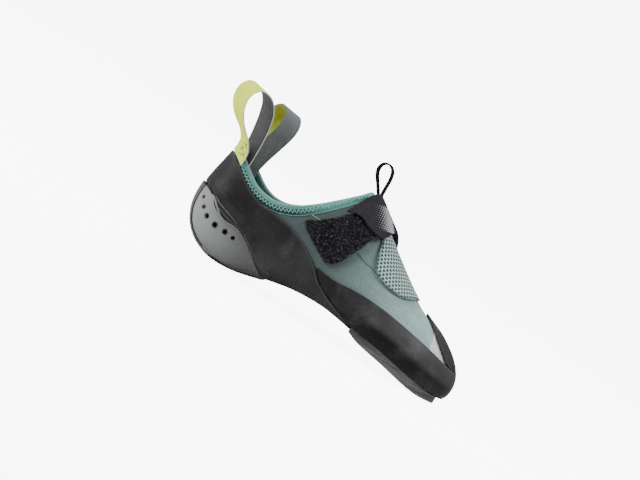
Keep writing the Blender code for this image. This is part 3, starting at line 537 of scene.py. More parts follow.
strap_cloth, tree, shader, plain = cloth_finish(
    "strap cloth", (0.008, 0.0075, 0.0095), (0.020, 0.019, 0.023), 1900.0, 1.0, 0.66, 0.03, gloss=0.12
)
spot_map = nodes_for(tree, "ShaderNodeUVMap", uv_map="print").outputs[0]
print_x, print_y = axis_of(spot_map, 0), axis_of(spot_map, 1)
dot_x, dot_y = staggered(times(print_x, 420.0), times(print_y, 480.0))
wanted = ramp(print_x, -0.010, 0.009, 0.05, 0.56)
in_dot = ramp(minus(wanted, far_from_middle(dot_x, dot_y)), -0.02, 0.06)
in_field = times(ramp(print_y, -0.0115, -0.0110), ramp(print_y, 0.0110, 0.0115, 1.0, 0.0))
in_field = times(in_field, ramp(print_x, 0.0115, 0.0120, 1.0, 0.0))
printed = times(in_dot, in_field)
join(blend_colours(times(printed, 0.85), plain, (0.56, 0.56, 0.58)), shader.inputs["Base Color"])

pale_webbing = cloth_finish("pale webbing", (0.74, 0.92, 0.00), (0.92, 1.00, 0.12), 1100.0, 0.0,
                            sheen=0.0, depth=0.0004)[0]
# painted shade: the far loop's pale lime face, darkened to olive
lime_webbing_in_painted_shade = cloth_finish("lime webbing in painted shade", (0.20, 0.22, 0.01), (0.42, 0.45, 0.03), 1100.0, 0.0)[0]
slate_webbing = cloth_finish("slate webbing", (0.052, 0.058, 0.064), (0.120, 0.128, 0.138), 1100.0, 0.0)[0]
coal_webbing = cloth_finish("coal webbing", (0.022, 0.021, 0.024), (0.070, 0.067, 0.073), 1100.0, 0.0)[0]
black_tape_and_vent_shade = cloth_finish("black tape and vent shade", (0.004, 0.004, 0.004), (0.009, 0.010, 0.010), 1500.0, 0.0,
                          sheen=0.0, depth=0.00005, gloss=0.05)[0]
trim_cloth = cloth_finish("trim cloth", (0.003, 0.003, 0.004), (0.012, 0.011, 0.014), 1500.0, 0.5,
                          sheen=0.0)[0]
toe_cloth = cloth_finish("toe cloth", (0.46, 0.49, 0.495), (0.74, 0.76, 0.765), 1700.0, 0.0, 0.7)[0]
board_cloth = cloth_finish("board cloth", (0.020, 0.024, 0.024), (0.055, 0.062, 0.060), 800.0, 0.3, 0.95)[0]
print("made", [cloth.name for cloth in (strap_cloth, pale_webbing, slate_webbing, black_tape_and_vent_shade, toe_cloth)])

# %% Thread and pile


def thread_finish(name, colour):
    """Twisted thread: fine slanting ridges."""
    made, tree, shader, at_object, _ = new_finish(name, 0.7, 0.3, specular=0.3)
    turned = nodes_for(tree, "ShaderNodeMapping", {"Vector": at_object, "Rotation": (0.4, 0.6, 0.3)})
    waves = {"Vector": turned.outputs[0], "Scale": 900.0, "Distortion": 2.0}
    strand = nodes_for(tree, "ShaderNodeTexWave", waves).outputs[1]
    tone = blend_colours(strand, tuple(0.55 * part for part in colour), colour)
    join(tone, shader.inputs["Base Color"])
    raise_surface(shader, strand, 0.00008)
    return made


dark_thread = thread_finish("dark green thread", (0.020, 0.060, 0.054))
teal_thread = thread_finish("teal thread", (0.205, 0.500, 0.440))
dark_teal_thread = thread_finish("dark teal thread", (0.008, 0.060, 0.050))
pale_thread = thread_finish("pale thread", (0.300, 0.420, 0.395))
cream_thread = thread_finish("cream thread", (0.62, 0.64, 0.52))
olive_thread = thread_finish("olive thread", (0.030, 0.040, 0.010))
black_thread = thread_finish("black thread", (0.012, 0.012, 0.014))
pile_black, tree, shader, at_object, at_map = new_finish("black pile", 0.8, specular=0.3)
clump = clouds_on(at_object, 420.0)
curl_tone = noise(at_object, 1500.0, 2.0)
# painted highlights: random clumps of curls are coloured lighter grey to stand in for their highlights
painted_highlight_clumps = times(clump, ramp(curl_tone, 0.40, 0.62))
join(blend_colours(painted_highlight_clumps, (0.002, 0.002, 0.003), (0.130, 0.122, 0.142)), shader.inputs["Base Color"])
raise_surface(shader, curl_tone, 0.0001)
net_cloth, tree, shader, dark_net = cloth_finish(
    "net cloth", (0.004, 0.030, 0.026), (0.020, 0.085, 0.074), 900.0, 0.6)
to_front = axis_of(nodes_for(tree, "ShaderNodeTexCoord").outputs["Object"], 0)
# painted shade: the net is darkest at the heel and lighter towards the front
dark_net = blend_colours(ramp(to_front, 0.040, 0.068), dark_net, (0.100, 0.300, 0.255))
join(dark_net, shader.inputs["Base Color"])
print("made seven threads,", net_cloth.name, "and", pile_black.name)

# %% [markdown]
# ## From solid to skin
#
# A CAD solid arrives as loose triangles with hard corners. The copy that will be seen has its points
# joined and its triangles paired into four-sided faces, because the Subdivision modifier draws a
# smooth skin from those. A Bevel rounds the corners first, so the skin keeps its edges. Whether a
# face looks outwards or inwards is read from a line through the middle of the foot.

# %% Copying a solid
MIDDLE_START, MIDDLE_END = Vector((0.005, 0.0, 0.040)), Vector((0.185, 0.005, 0.028))
WELD_DISTANCE = 0.00001
PAIRING_ANGLE, PAIRING_SHAPE = math.radians(60), math.radians(70)


def away(point):
    """The direction from the middle of the foot to a point of the shoe."""
    line = MIDDLE_END - MIDDLE_START
    share = max(0.0, min(1.0, (point - MIDDLE_START).dot(line) / line.length_squared))
    return (point - MIDDLE_START - line * share).normalized()


def only(piece):
    """The piece alone is selected and active."""
    deselect_all()
    piece.select_set(True)
    bpy.context.view_layer.objects.active = piece


def outward(face):
    """How far a face looks away from the foot: 1 straight outwards, -1 straight inwards."""
    return face.normal.dot(away(face.center))


def apply_all(piece):
    """All modifiers of a piece applied in turn."""
    only(piece)
    for modifier in list(piece.modifiers):
        bpy.ops.object.modifier_apply(modifier=modifier.name)


def joined_copy(node, name):
    """A copy of a solid with its points joined and its triangles paired."""
    piece = put_in_scene(name, solids[node].data.copy())
    piece.data.name = name
    piece.data.materials.clear()
    only(piece)
    bpy.ops.mesh.customdata_custom_splitnormals_clear()
    bpy.ops.object.mode_set(mode="EDIT")
    bpy.ops.mesh.select_all(action="SELECT")
    bpy.ops.mesh.remove_doubles(threshold=WELD_DISTANCE)
    bpy.ops.mesh.tris_convert_to_quads(face_threshold=PAIRING_ANGLE, shape_threshold=PAIRING_SHAPE)
    bpy.ops.object.mode_set(mode="OBJECT")
    return piece


# %% [markdown]
# Stitches and ground edges both follow the line where a piece's outside ends. It is found on the
# joined copy before its corners are rounded: those edges are sharp, and one of their two faces looks
# away from the foot. The edges are chained into closed lines, each point with the way inwards.

# %% Finding a piece's outer border
SHARP, EDGE_STEP = math.radians(45), 0.5 * MM
LOOKS_OUT = 0.35
FEWEST_POINTS = 6


def outer_border(piece):
    """Closed lines round the outside of a piece: lists of (point, way inwards), the longest first."""
    model = bmesh.new()
    model.from_mesh(piece.data)
    beside, inwards, sharp = {}, {}, []
    for edge in model.edges:
        if len(edge.link_faces) != 2 or edge.calc_face_angle(0.0) < SHARP:
            continue
        start, end = (corner.co.copy() for corner in edge.verts)
        pieces_of_edge = max(1, math.ceil((end - start).length / EDGE_STEP))
        sharp += [start.lerp(end, step / pieces_of_edge) for step in range(pieces_of_edge)]
        looks = [face.normal.dot(away(face.calc_center_median())) for face in edge.link_faces]
        if max(looks) < LOOKS_OUT or min(looks) > max(looks) - LOOKS_OUT:
            continue
        inner = edge.link_faces[looks.index(max(looks))].calc_center_median() - (start + end) / 2
        line = (end - start).normalized()
        inner = (inner - line * inner.dot(line)).normalized()
        for corner, other in (edge.verts, reversed(edge.verts)):
            beside.setdefault(corner.index, []).append(other.index)
            inwards[corner.index] = inwards.get(corner.index, Vector()) + inner
    places = {corner.index: corner.co.copy() for corner in model.verts if corner.index in beside}
    model.free()
    lines, left = [], set(beside)
    while left:
        walk = [left.pop()]
        while True:
            ahead_of = [other for other in beside[walk[-1]] if other in left]
            if not ahead_of:
                break
            walk.append(ahead_of[0])
            left.remove(ahead_of[0])
        if len(walk) >= FEWEST_POINTS:
            lines.append([(places[corner], inwards[corner].normalized()) for corner in walk])
    lines.sort(key=lambda one: -sum((a[0] - b[0]).length for a, b in zip(one, one[1:])))
    return lines, sharp


# %% [markdown]
# Woven and knitted pieces need a flat map, so that their threads follow the cloth over its curves.
# Seams are marked along the sharp edges, the piece is unwrapped, and the map is scaled to metres and
# turned until its first axis runs with the grain of the cloth.

# %% Laying a piece flat
SEAM_ANGLE = math.radians(40)


def lay_flat(piece, grain):
    """A flat map in metres whose u runs along the grain direction."""
    if not piece.data.uv_layers:
        piece.data.uv_layers.new(name="UVMap")
    only(piece)
    bpy.ops.object.mode_set(mode="EDIT")
    bpy.ops.mesh.select_mode(type="EDGE")
    bpy.ops.mesh.select_all(action="DESELECT")
    bpy.ops.mesh.edges_select_sharp(sharpness=SEAM_ANGLE)
    bpy.ops.mesh.mark_seam(clear=False)
    bpy.ops.mesh.select_all(action="SELECT")
    bpy.ops.uv.unwrap(method="ANGLE_BASED", margin=0.01)
    bpy.ops.object.mode_set(mode="OBJECT")
    mesh = piece.data
    flat = np.empty(len(mesh.loops) * 2)
    mesh.uv_layers[0].data.foreach_get("uv", flat)
    flat = flat.reshape(-1, 2)
    real = np.array([mesh.vertices[loop.vertex_index].co for loop in mesh.loops])
    outside = [face for face in mesh.polygons if outward(face) > 0.4]
    real_area = sum(face.area for face in outside)
    flat_area = 0.0
    for face in outside:
        corners = flat[face.loop_start:face.loop_start + face.loop_total]
        after = np.roll(corners, -1, axis=0)
        flat_area += abs(np.sum(corners[:, 0] * after[:, 1] - corners[:, 1] * after[:, 0])) / 2
    flat *= math.sqrt(real_area / max(flat_area, 1e-12))
    used = np.concatenate([np.arange(face.loop_start, face.loop_start + face.loop_total) for face in outside])
    along_grain = real[used] @ np.array(grain)
    terms = np.column_stack([flat[used], np.ones(len(used))])
    slope = np.linalg.lstsq(terms, along_grain, rcond=None)[0]
    turned = math.atan2(slope[1], slope[0])
    spin = np.array([[math.cos(turned), -math.sin(turned)], [math.sin(turned), math.cos(turned)]])
    mesh.uv_layers[0].data.foreach_set("uv", (flat @ spin).ravel())


# %% [markdown]
# Now the steps are put together. Every dressed piece rides on the shoe's one body, and its solid is
# hidden so that the piece is seen in its place. The attribute `to_edge` is measured against the sharp
# edges that were found before the corners were rounded.

# %% Dressing a solid
borders = {}
BEVEL_FROM, SMOOTH_BELOW = math.radians(42), math.radians(50)


def surface_of(*parts):
    """A search tree over the faces of some pieces."""
    corners, faces = [], []
    for part in parts:
        first = len(corners)
        corners += [vertex.co.copy() for vertex in part.data.vertices]
        faces += [[first + corner for corner in face.vertices] for face in part.data.polygons]
    return BVHTree.FromPolygons(corners, faces)


def tree_of_points(points):
    """A search tree over single points."""
    tree = KDTree(len(points))
    for index, point in enumerate(points):
        tree.insert(point, index)
    tree.balance()
    return tree


def tell_points(piece, name, values):
    """An attribute with one number for each point."""
    piece.data.attributes.new(name, "FLOAT", "POINT").data.foreach_set("value", values)


def finish_piece(piece, finish):
    """Material and body of a piece that is ready."""
    for material in finish if isinstance(finish, list) else [finish]:
        piece.data.materials.append(material)
    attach(piece, "root")
    return piece


def dress(node, name, finish, rounding=0.35 * MM, levels=2, grain=None):
    """The piece that is seen in place of a solid."""
    piece = joined_copy(node, name)
    borders[node], sharp = outer_border(piece)
    if grain:
        lay_flat(piece, grain)
    rounded = piece.modifiers.new("rounded corners", "BEVEL")
    rounded.width, rounded.segments = rounding, 2
    rounded.limit_method, rounded.angle_limit = "ANGLE", BEVEL_FROM
    smoothed = piece.modifiers.new("smooth skin", "SUBSURF")
    smoothed.levels = smoothed.render_levels = levels
    apply_all(piece)
    bpy.ops.object.shade_smooth()
    near = tree_of_points(sharp)
    tell_points(piece, "to_edge", [near.find(vertex.co)[2] for vertex in piece.data.vertices])
    finish_piece(piece, finish)
    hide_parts(node)
    print("%-20s %6d faces, %d border lines" % (name, len(piece.data.polygons), len(borders[node])))
    return piece


# %% [markdown]
# ## The upper and what is glued over it
#
# The upper is one hollow skin. Its outside is microfibre and its inside is lined, so the faces that
# look towards the middle of the foot get the second material. The third, black as painted shade,
# comes later, behind the heel's vent holes.

# %% Upper
upper = dress("upper", "upper_skin", [microfibre, lining, black_tape_and_vent_shade], 0.3 * MM)
for face in upper.data.polygons:
    face.material_index = 1 if outward(face) < -0.1 else 0
print(sum(face.material_index for face in upper.data.polygons), "faces are lining")

# %% Rubber, insole and sole
dress("insole", "insole_board", board_cloth, 0.4 * MM, grain=(1, 0, 0))
sling = dress("heel_sling", "heel_sling_sheet", sheet_rubber)
rand = dress("toe_rand", "toe_rand_sheet", rand_rubber, 0.45 * MM)
toe_patch = dress("toe_patch", "toe_patch_sheet", sheet_rubber)
band = dress("heel_band", "heel_band_strip", band_rubber, 0.5 * MM)
outsole = dress("outsole", "outsole_sheet", sole_rubber, 0.5 * MM)
cups = [dress("heel_cup_outer", "heel_cup_near", moulded, 0.4 * MM, 1),
        dress("heel_cup_inner", "heel_cup_far", moulded, 0.4 * MM, 1)]

# %% [markdown]
# Rubber is glued on, and a hair's breadth of black glue shows at each joint. Where the upper lies
# under rubber it becomes black. Each point of the upper gets an attribute, `glue`: the share of a few
# rays, outwards and to the sides, that meet rubber close by. The rand also learns how far it is from
# the sole.

# %% Glue under the rubber
rubber_surface = surface_of(sling, rand, toe_patch, band, outsole, *cups)
GLUE_REACH = 3.5 * MM
covers = []
for vertex in upper.data.vertices:
    side = vertex.normal.orthogonal()
    other = vertex.normal.cross(side)
    rays = [vertex.normal] + [(vertex.normal + way * 0.8).normalized()
                              for way in (side, -side, other, -other, side + other, side - other,
                                          other - side, -side - other)]
    met = [rubber_surface.ray_cast(vertex.co + vertex.normal * 0.05 * MM, ray, GLUE_REACH)[0] for ray in rays]
    covers.append(sum(hit is not None for hit in met) / len(rays))
tell_points(upper, "glue", covers)
sole_surface = surface_of(outsole)
tell_points(rand, "to_sole", [sole_surface.find_nearest(vertex.co)[3] for vertex in rand.data.vertices])
print(sum(share > 0.6 for share in covers), "points of the upper are under rubber")

# %% Cloth pieces
panel = dress("instep_panel", "instep_mesh", spacer_mesh, 0.3 * MM, grain=(1, 0, -0.5))
strap = dress("strap", "closing_strap", strap_cloth, 0.35 * MM, grain=(0, 1, 0))
pad = dress("strap_pad", "strap_pad_base", trim_cloth, 0.35 * MM, grain=(0, 1, 0))
binding = dress("collar_binding", "collar_knit", edging, 0.5 * MM)

# %% [markdown]
# ## Lines on the surface
#
# A few helpers carry all the sewing. `smooth_path` runs a smooth curve through a few points in even
# steps. `drape` drops it onto the nearest surface, and `on_surface` does so where the surface's normal
# isn't needed. `seen_at` finds the point of the shoe that the photograph shows at a place, by a ray
# that runs in the camera's direction.

# %% Paths
PARTS = 16


def smooth_path(points, step, closed=False):
    """Even steps along a smooth curve through the points."""
    points = [Vector(point) for point in points]
    count, fine = len(points), []
    for index in range(count if closed else count - 1):
        around = [index + near for near in (-1, 0, 1, 2)]
        a, b, c, d = (points[at % count if closed else min(max(at, 0), count - 1)] for at in around)
        for part in range(PARTS):
            t = part / PARTS
            fine.append(0.5 * (2 * b + (c - a) * t + (2 * a - 5 * b + 4 * c - d) * t ** 2
                               + (3 * b - a - 3 * c + d) * t ** 3))
    fine.append(points[0] if closed else points[-1])
    lengths = np.concatenate([[0.0], np.cumsum([(q - p).length for p, q in zip(fine, fine[1:])])])
    steps = max(2, round(lengths[-1] / step))
    table = np.array(fine)
    where = np.linspace(0, lengths[-1], steps + 1)
    even = np.column_stack([np.interp(where, lengths, table[:, axis]) for axis in range(3)])
    return [Vector(point) for point in (even[:-1] if closed else even)]


def drape(points, surface, lift=0.0):
    """Each point moved to the surface and lifted, with the surface's normal there."""
    landed = []
    for point in points:
        place, normal = surface.find_nearest(point)[:2]
        landed.append((place + normal * lift, normal))
    return landed


def on_surface(points, surface, lift=0.0):
    return [place for place, _ in drape(points, surface, lift)]


def seen_at(pixels, surface):
    """The points of a surface that the photograph shows at these pixels."""
    found = []
    for pixel in pixels:
        hit = surface.ray_cast(in_picture(*pixel) - ahead * 0.5, ahead)[0]
        if hit:
            found.append(hit)
    return found


# %% [markdown]
# A stitch is a short capsule of thread. It is modelled once, with few faces, and copied along a path,
# in line with it or turned to and fro for a zigzag. A cord or a piping is a curve with a round
# section, turned into a mesh.

# %% Stitches and cords
bpy.ops.mesh.primitive_uv_sphere_add(segments=6, ring_count=4, radius=1.0)
capsule = bpy.context.object
bpy.ops.object.mode_set(mode="EDIT")
bpy.ops.transform.resize(value=(1.0, 1.0, 0.7))
bpy.ops.object.mode_set(mode="OBJECT")
capsule_points = np.array([vertex.co[:] for vertex in capsule.data.vertices])
capsule_faces = [list(face.vertices) for face in capsule.data.polygons]
bpy.data.objects.remove(capsule)


def mesh_piece(name, corners, faces):
    """A new piece from its points and faces."""
    mesh = bpy.data.meshes.new(name)
    mesh.from_pydata(corners, [], faces)
    return put_in_scene(name, mesh)


def many(name, points, faces, frames, finish):
    """One piece made of copies of a small shape, each with its own 3x3 axes and place."""
    corners = np.concatenate([points @ np.array(axes).T + np.array(place) for axes, place in frames])
    polygons = [[corner + len(points) * copy for corner in face]
                for copy in range(len(frames)) for face in faces]
    piece = mesh_piece(name, corners.tolist(), polygons)
    piece.data.shade_smooth()
    return finish_piece(piece, finish)


def sew(name, path, surface, finish, length=1.7 * MM, thick=0.22 * MM, slant=0.0, zigzag=False,
        lift=0.08 * MM):
    """A row of stitches along a path of even steps."""
    landed = drape(path, surface, lift)
    frames = []
    for index, (place, normal) in enumerate(landed):
        before, after = landed[max(index - 1, 0)][0], landed[min(index + 1, len(landed) - 1)][0]
        line = after - before
        if line.length < 1e-7:
            continue
        line = (line - normal * line.dot(normal)).normalized()
        side = normal.cross(line)
        turned = slant * (-1 if zigzag and index % 2 else 1)
        run = line * math.cos(turned) + side * math.sin(turned)
        cross = normal.cross(run)
        axes = Matrix((run * length / 2, cross * thick, normal * thick)).transposed()
        frames.append((axes, place))
    return many(name, capsule_points, capsule_faces, frames, finish)


def piping(name, path, radius, finish, closed=False):
    """A round cord along a path."""
    curve = bpy.data.curves.new(name, "CURVE")
    curve.dimensions, curve.bevel_depth, curve.bevel_resolution = "3D", radius, 1
    curve.use_fill_caps = True
    spline = curve.splines.new("POLY")
    spline.points.add(len(path) - 1)
    for point, place in zip(spline.points, path):
        point.co = (*place, 1.0)
    spline.use_cyclic_u = closed
    only(put_in_scene(name, curve))
    bpy.ops.object.convert(target="MESH")
    piece = bpy.context.object
    piece.data.shade_smooth()
    return finish_piece(piece, finish)


shell = surface_of(upper)
print("the stitch has", len(capsule_faces), "faces")

# %% [markdown]
# ## The collar
#
# A knitted tape is folded over the rim and sewn down with a bright zigzag on a darker net that covers
# its lower edge, and a pale cord of yarn runs along its fold. The rim's course is known from the CAD,
# so the paths start from it. Some are moved away from the rim and draped. The others are found by rays
# that come from outside, because those always meet the outermost cloth first.

# %% Rim
rim_outer = [(-30.7, 0, 89.5), (-29.5, -8.5, 89.2), (-25.1, -14.9, 87.3), (-17.7, -18.5, 83.0),
             (-7.9, -20.7, 76.3), (3.5, -22.1, 70.0), (16.3, -23.0, 67.6), (29.7, -24.9, 69.4),
             (45.7, -25.0, 78.0), (67.8, -14.5, 99.5), (81.1, 3.0, 115.6)]
rim_inner = [(-29.5, 8.5, 89.1), (-25.1, 14.9, 87.3), (-17.7, 18.5, 83.0), (-7.9, 20.7, 76.2),
             (3.5, 22.1, 69.5), (16.3, 22.8, 67.2), (29.7, 23.6, 70.7), (45.7, 23.2, 81.8),
             (67.8, 16.6, 102.8)]
rim_points = [Vector(point) * MM for point in rim_outer + rim_inner[::-1]]
RIM_STEP = 0.6 * MM
rim = smooth_path(rim_points, RIM_STEP, closed=True)
rim_centre = Vector((0.025, 0.0, 0.085))
BESIDE_RIM, BELOW_RIM = 3 * MM, 4 * MM
tape_surface = surface_of(binding)


def rim_axes(index):
    """The rim's own directions at one place: along it, outwards and down."""
    line = (rim[(index + 3) % len(rim)] - rim[index - 3]).normalized()
    out = sum((wall_faces[(index + near) % len(rim)] for near in range(-8, 9)), Vector())
    out = (out - line * out.dot(line)).normalized()
    down = line.cross(out)
    return line, out, down if down.z < 0 else -down


outer_faces = [face for face in upper.data.polygons if outward(face) > 0.2]
outer_wall = BVHTree.FromPolygons([vertex.co for vertex in upper.data.vertices],
                                  [list(face.vertices) for face in outer_faces])
wall_faces = []
for place in rim:
    beside = ((place - rim_centre) * Vector((0.4, 1, 0))).normalized()
    wall_faces.append(outer_wall.find_nearest(place + beside * BESIDE_RIM - Vector((0, 0, BELOW_RIM)))[1])
axes_of_rim = [rim_axes(index) for index in range(len(rim))]


def along_rim(outwards, downwards, step):
    """A closed path beside the rim."""
    shifted = [place + out * outwards + down * downwards for place, (_, out, down) in zip(rim, axes_of_rim)]
    return smooth_path(shifted, step, closed=True)


RAY_START = 12 * MM


def outside_rim(surface, downwards, lift):
    """A closed path on the outermost cloth, some way below the rim. Rays find it from outside, and each
    place takes the mean of its neighbours, so the path runs smoothly over steps."""
    starts = [place + out * RAY_START + down * downwards for place, (_, out, down) in zip(rim, axes_of_rim)]
    depths = []
    for start, (_, out, _) in zip(starts, axes_of_rim):
        met = surface.ray_cast(start, -out, 0.03)[3]
        depths.append(met if met is not None else RAY_START)
    count = len(depths)
    least = [min(depths[(index + near) % count] for near in range(-3, 4)) for index in range(count)]
    even = [sum(least[(index + near) % count] for near in range(-5, 6)) / 11 for index in range(count)]
    return [start - out * (depth - lift) for start, depth, (_, out, _) in zip(starts, even, axes_of_rim)]


layers = binding.data.uv_layers
tape_map = layers[0] if layers else layers.new(name="UVMap")
tree_of_rim = tree_of_points(rim)
run_length = len(rim) * RIM_STEP
TAPE_MIDDLE, TAPE_RADIUS = 2.0 * MM, 2.6 * MM
places_on_tape = []
for vertex in binding.data.vertices:
    place, index, _ = tree_of_rim.find(vertex.co)
    line, out, down = axes_of_rim[index]
    offset = vertex.co - place
    around = math.atan2(offset.dot(out), -offset.dot(down) + TAPE_MIDDLE)
    places_on_tape.append((index * RIM_STEP + offset.dot(line), around * TAPE_RADIUS))
for face in binding.data.polygons:
    values = [places_on_tape[binding.data.loops[loop].vertex_index] for loop in face.loop_indices]
    highest = max(value[0] for value in values)
    for loop, value in zip(face.loop_indices, values):
        wrapped = value[0] + (run_length if highest - value[0] > run_length / 2 else 0.0)
        tape_map.data[loop].uv = (wrapped, value[1])
print("the rim is %.0f mm round" % (run_length / MM))

# %% Collar stitches


def grid_faces(rows, columns, closed=False):
    """The four-sided faces between rows of points."""
    return [(row * columns + cell, row * columns + (cell + 1) % columns,
             (row + 1) * columns + (cell + 1) % columns, (row + 1) * columns + cell)
            for row in range(rows - 1) for cell in range(columns if closed else columns - 1)]


def thicken_sheet(piece, thickness):
    """A sheet is turned until it looks outwards, and gets its thickness inwards."""
    if sum(outward(face) * face.area for face in piece.data.polygons) < 0:
        piece.data.flip_normals()
    wall = piece.modifiers.new("wall", "SOLIDIFY")
    wall.thickness, wall.offset = thickness, -1.0
    apply_all(piece)


collar_surface = surface_of(binding, upper)
net_rows = [outside_rim(collar_surface, low * MM, 0.30 * MM)[::2] for low in (1.6, 3.4, 5.2, 7.0)]
net = mesh_piece("collar_net", [place for row in net_rows for place in row],
                 grid_faces(len(net_rows), len(net_rows[0]), closed=True))
thicken_sheet(net, 0.25 * MM)
bpy.ops.object.shade_smooth()
finish_piece(net, net_cloth)
zigzag_path = smooth_path(outside_rim(collar_surface, 4.4 * MM, 2.5 * MM), 1.65 * MM, closed=True)
sew("collar_zigzag", zigzag_path, surface_of(net), teal_thread,
    4.6 * MM, 0.42 * MM, math.radians(60), True, 0.20 * MM)
for name, low in (("collar_top_row", 1.7 * MM), ("collar_low_row", 6.9 * MM)):
    sew(name, smooth_path(outside_rim(collar_surface, low, 0.4 * MM), 1.5 * MM, closed=True), collar_surface,
        teal_thread, 1.5 * MM, 0.30 * MM, lift=0.45 * MM)
sew("collar_inner_row", along_rim(-4.0 * MM, 2.4 * MM, 1.6 * MM), tape_surface, dark_teal_thread,
    1.3 * MM, 0.3 * MM)
top_yarn = on_surface(along_rim(0.6 * MM, -3.0 * MM, 0.8 * MM), tape_surface)
piping("collar_yarn", top_yarn, 0.38 * MM, pale_thread, closed=True)

# %% [markdown]
# ## Pull loops
#
# A pull loop is a flat webbing with a pale face and a dark back. Its route comes from the CAD, with
# the direction across the webbing at each point, because that direction decides how it folds. A flat
# strip is laid along the route, and a Solidify modifier gives it its two faces and its edges, each
# with its own material.

# %% Routes of the loops
near_route = [
    (-23.0, -19.6, 81.0, 0.8, -0.386, -0.459), (-23.0, -19.7, 86.9, 0.807, -0.389, -0.445),
    (-23.9, -21.1, 93.3, 0.834, -0.402, -0.378), (-27.8, -25.9, 100.3, 0.857, -0.413, -0.31),
    (-34.0, -33.3, 107.0, 0.873, -0.421, -0.248), (-38.5, -38.6, 113.3, 0.885, -0.427, -0.186),
    (-41.9, -42.1, 121.3, 0.893, -0.431, -0.128), (-42.6, -41.3, 130.7, 0.893, -0.431, -0.128),
    (-39.4, -35.1, 137.6, 0.893, -0.431, -0.128), (-34.3, -27.6, 138.5, 0.893, -0.431, -0.128),
    (-29.0, -20.4, 135.0, 0.893, -0.431, -0.128), (-24.7, -15.1, 127.5, 0.893, -0.431, -0.128),
    (-22.0, -12.4, 116.6, 0.893, -0.431, -0.128), (-20.4, -11.4, 105.5, 0.873, -0.421, -0.249),
    (-19.4, -11.3, 95.1, 0.84, -0.405, -0.36), (-19.0, -11.4, 85.2, 0.8, -0.386, -0.459),
    (-19.0, -11.3, 75.5, 0.8, -0.386, -0.459),
]
far_route = [
    (-20.5, 21.0, 79.4, 0.801, 0.386, -0.458), (-20.5, 21.1, 84.2, 0.802, 0.386, -0.456),
    (-21.0, 21.7, 90.1, 0.826, 0.398, -0.4), (-22.3, 23.6, 97.4, 0.851, 0.41, -0.33),
    (-24.3, 26.9, 105.6, 0.873, 0.421, -0.246), (-25.6, 29.5, 114.7, 0.891, 0.429, -0.151),
    (-25.2, 30.2, 123.5, 0.893, 0.431, -0.128), (-22.5, 29.1, 130.1, 0.893, 0.431, -0.128),
    (-18.3, 26.5, 133.7, 0.893, 0.431, -0.128), (-13.7, 22.8, 134.0, 0.893, 0.431, -0.128),
    (-10.0, 18.7, 130.7, 0.893, 0.431, -0.128), (-7.9, 15.7, 124.7, 0.893, 0.431, -0.128),
    (-8.3, 14.4, 116.1, 0.893, 0.431, -0.128), (-11.0, 14.2, 105.6, 0.88, 0.424, -0.212),
    (-14.2, 13.4, 93.9, 0.844, 0.407, -0.35), (-16.1, 12.6, 83.3, 0.801, 0.386, -0.458),
    (-16.3, 12.4, 74.3, 0.801, 0.386, -0.458),
]
tape_route = [
    (88.6, 3, 113.6, 0.4, 1, 0), (87.2, 3, 115.6, 0.4, 1, 0), (85.1, 3, 118.2, 0.45, 1, 0),
    (82.3, 3, 122.2, 0.4, 1, 0), (78.9, 3, 126.7, 0.55, 1, 0), (75.7, 3, 131.6, 0.6, 1, 0),
    (74.7, 3, 136.1, 0.55, 1, 0), (75.7, 3, 139.7, 0.35, 1, 0), (78.3, 3, 141.9, 0.45, 1, 0),
    (81.9, 3, 142.0, 0.4, 1, 0), (85.1, 3, 139.8, 0.4, 1, 0), (87.0, 3, 135.7, 0.4, 1, 0),
    (87.8, 3, 130.9, 0.4, 1, 0), (88.1, 3, 125.4, 0.4, 1, 0), (88.4, 3, 119.6, 0.4, 1, 0),
    (88.9, 3, 116.2, 0.4, 1, 0), (89.4, 3, 113.6, 0.4, 1, 0),
]


def lay_map(piece, places, name="UVMap"):
    """A flat map that has one place for each point."""
    layer = piece.data.uv_layers.new(name=name)
    for loop in piece.data.loops:
        layer.data[loop.index].uv = places[loop.vertex_index]


def webbing(node, name, route, half_width, thick, finishes, cells=8):
    """A flat webbing along a route, with its threads mapped in metres."""
    middle = smooth_path([Vector(row[:3]) * MM for row in route], 1.0 * MM)
    knots = np.linspace(0, 1, len(route))
    share = np.linspace(0, 1, len(middle))
    across = [np.interp(share, knots, [row[3 + axis] for row in route]) for axis in range(3)]
    corners, flat = [], []
    for index, place in enumerate(middle):
        sideways = Vector([across[axis][index] for axis in range(3)]).normalized()
        for cell in range(cells + 1):
            shift = (2 * cell / cells - 1) * half_width
            corners.append(place + sideways * shift)
            flat.append((index * 1.0 * MM, shift))
    piece = mesh_piece(name, corners, grid_faces(len(middle), cells + 1))
    lay_map(piece, flat)
    solid = piece.modifiers.new("two faces", "SOLIDIFY")
    solid.thickness, solid.offset, solid.use_even_offset = thick, 0.0, True
    solid.material_offset, solid.material_offset_rim = 1, 2
    edges = piece.modifiers.new("rounded edges", "BEVEL")
    edges.width, edges.segments, edges.limit_method = thick * 0.3, 2, "ANGLE"
    finish_piece(piece, finishes)
    apply_all(piece)
    bpy.ops.object.shade_smooth_by_angle(angle=SMOOTH_BELOW)
    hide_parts(node)
    print(name, "runs %.0f mm" % (len(middle) - 1))
    return piece, middle


LOOP_HALF_WIDTH, LOOP_THICKNESS = 8.2 * MM, 1.2 * MM
near_loop, near_middle = webbing(
    "pull_loop_outer", "pull_loop_near", near_route, LOOP_HALF_WIDTH, LOOP_THICKNESS,
    [pale_webbing, coal_webbing, cream_thread])
# the far loop's face uses the lime webbing in painted shade
far_loop, far_middle = webbing(
    "pull_loop_inner", "pull_loop_far", far_route, LOOP_HALF_WIDTH, LOOP_THICKNESS,
    [lime_webbing_in_painted_shade, slate_webbing, slate_webbing])
webbing("tongue_loop", "tape_loop", tape_route, 2.1 * MM, 1.6 * MM, [black_tape_and_vent_shade] * 3, 2)

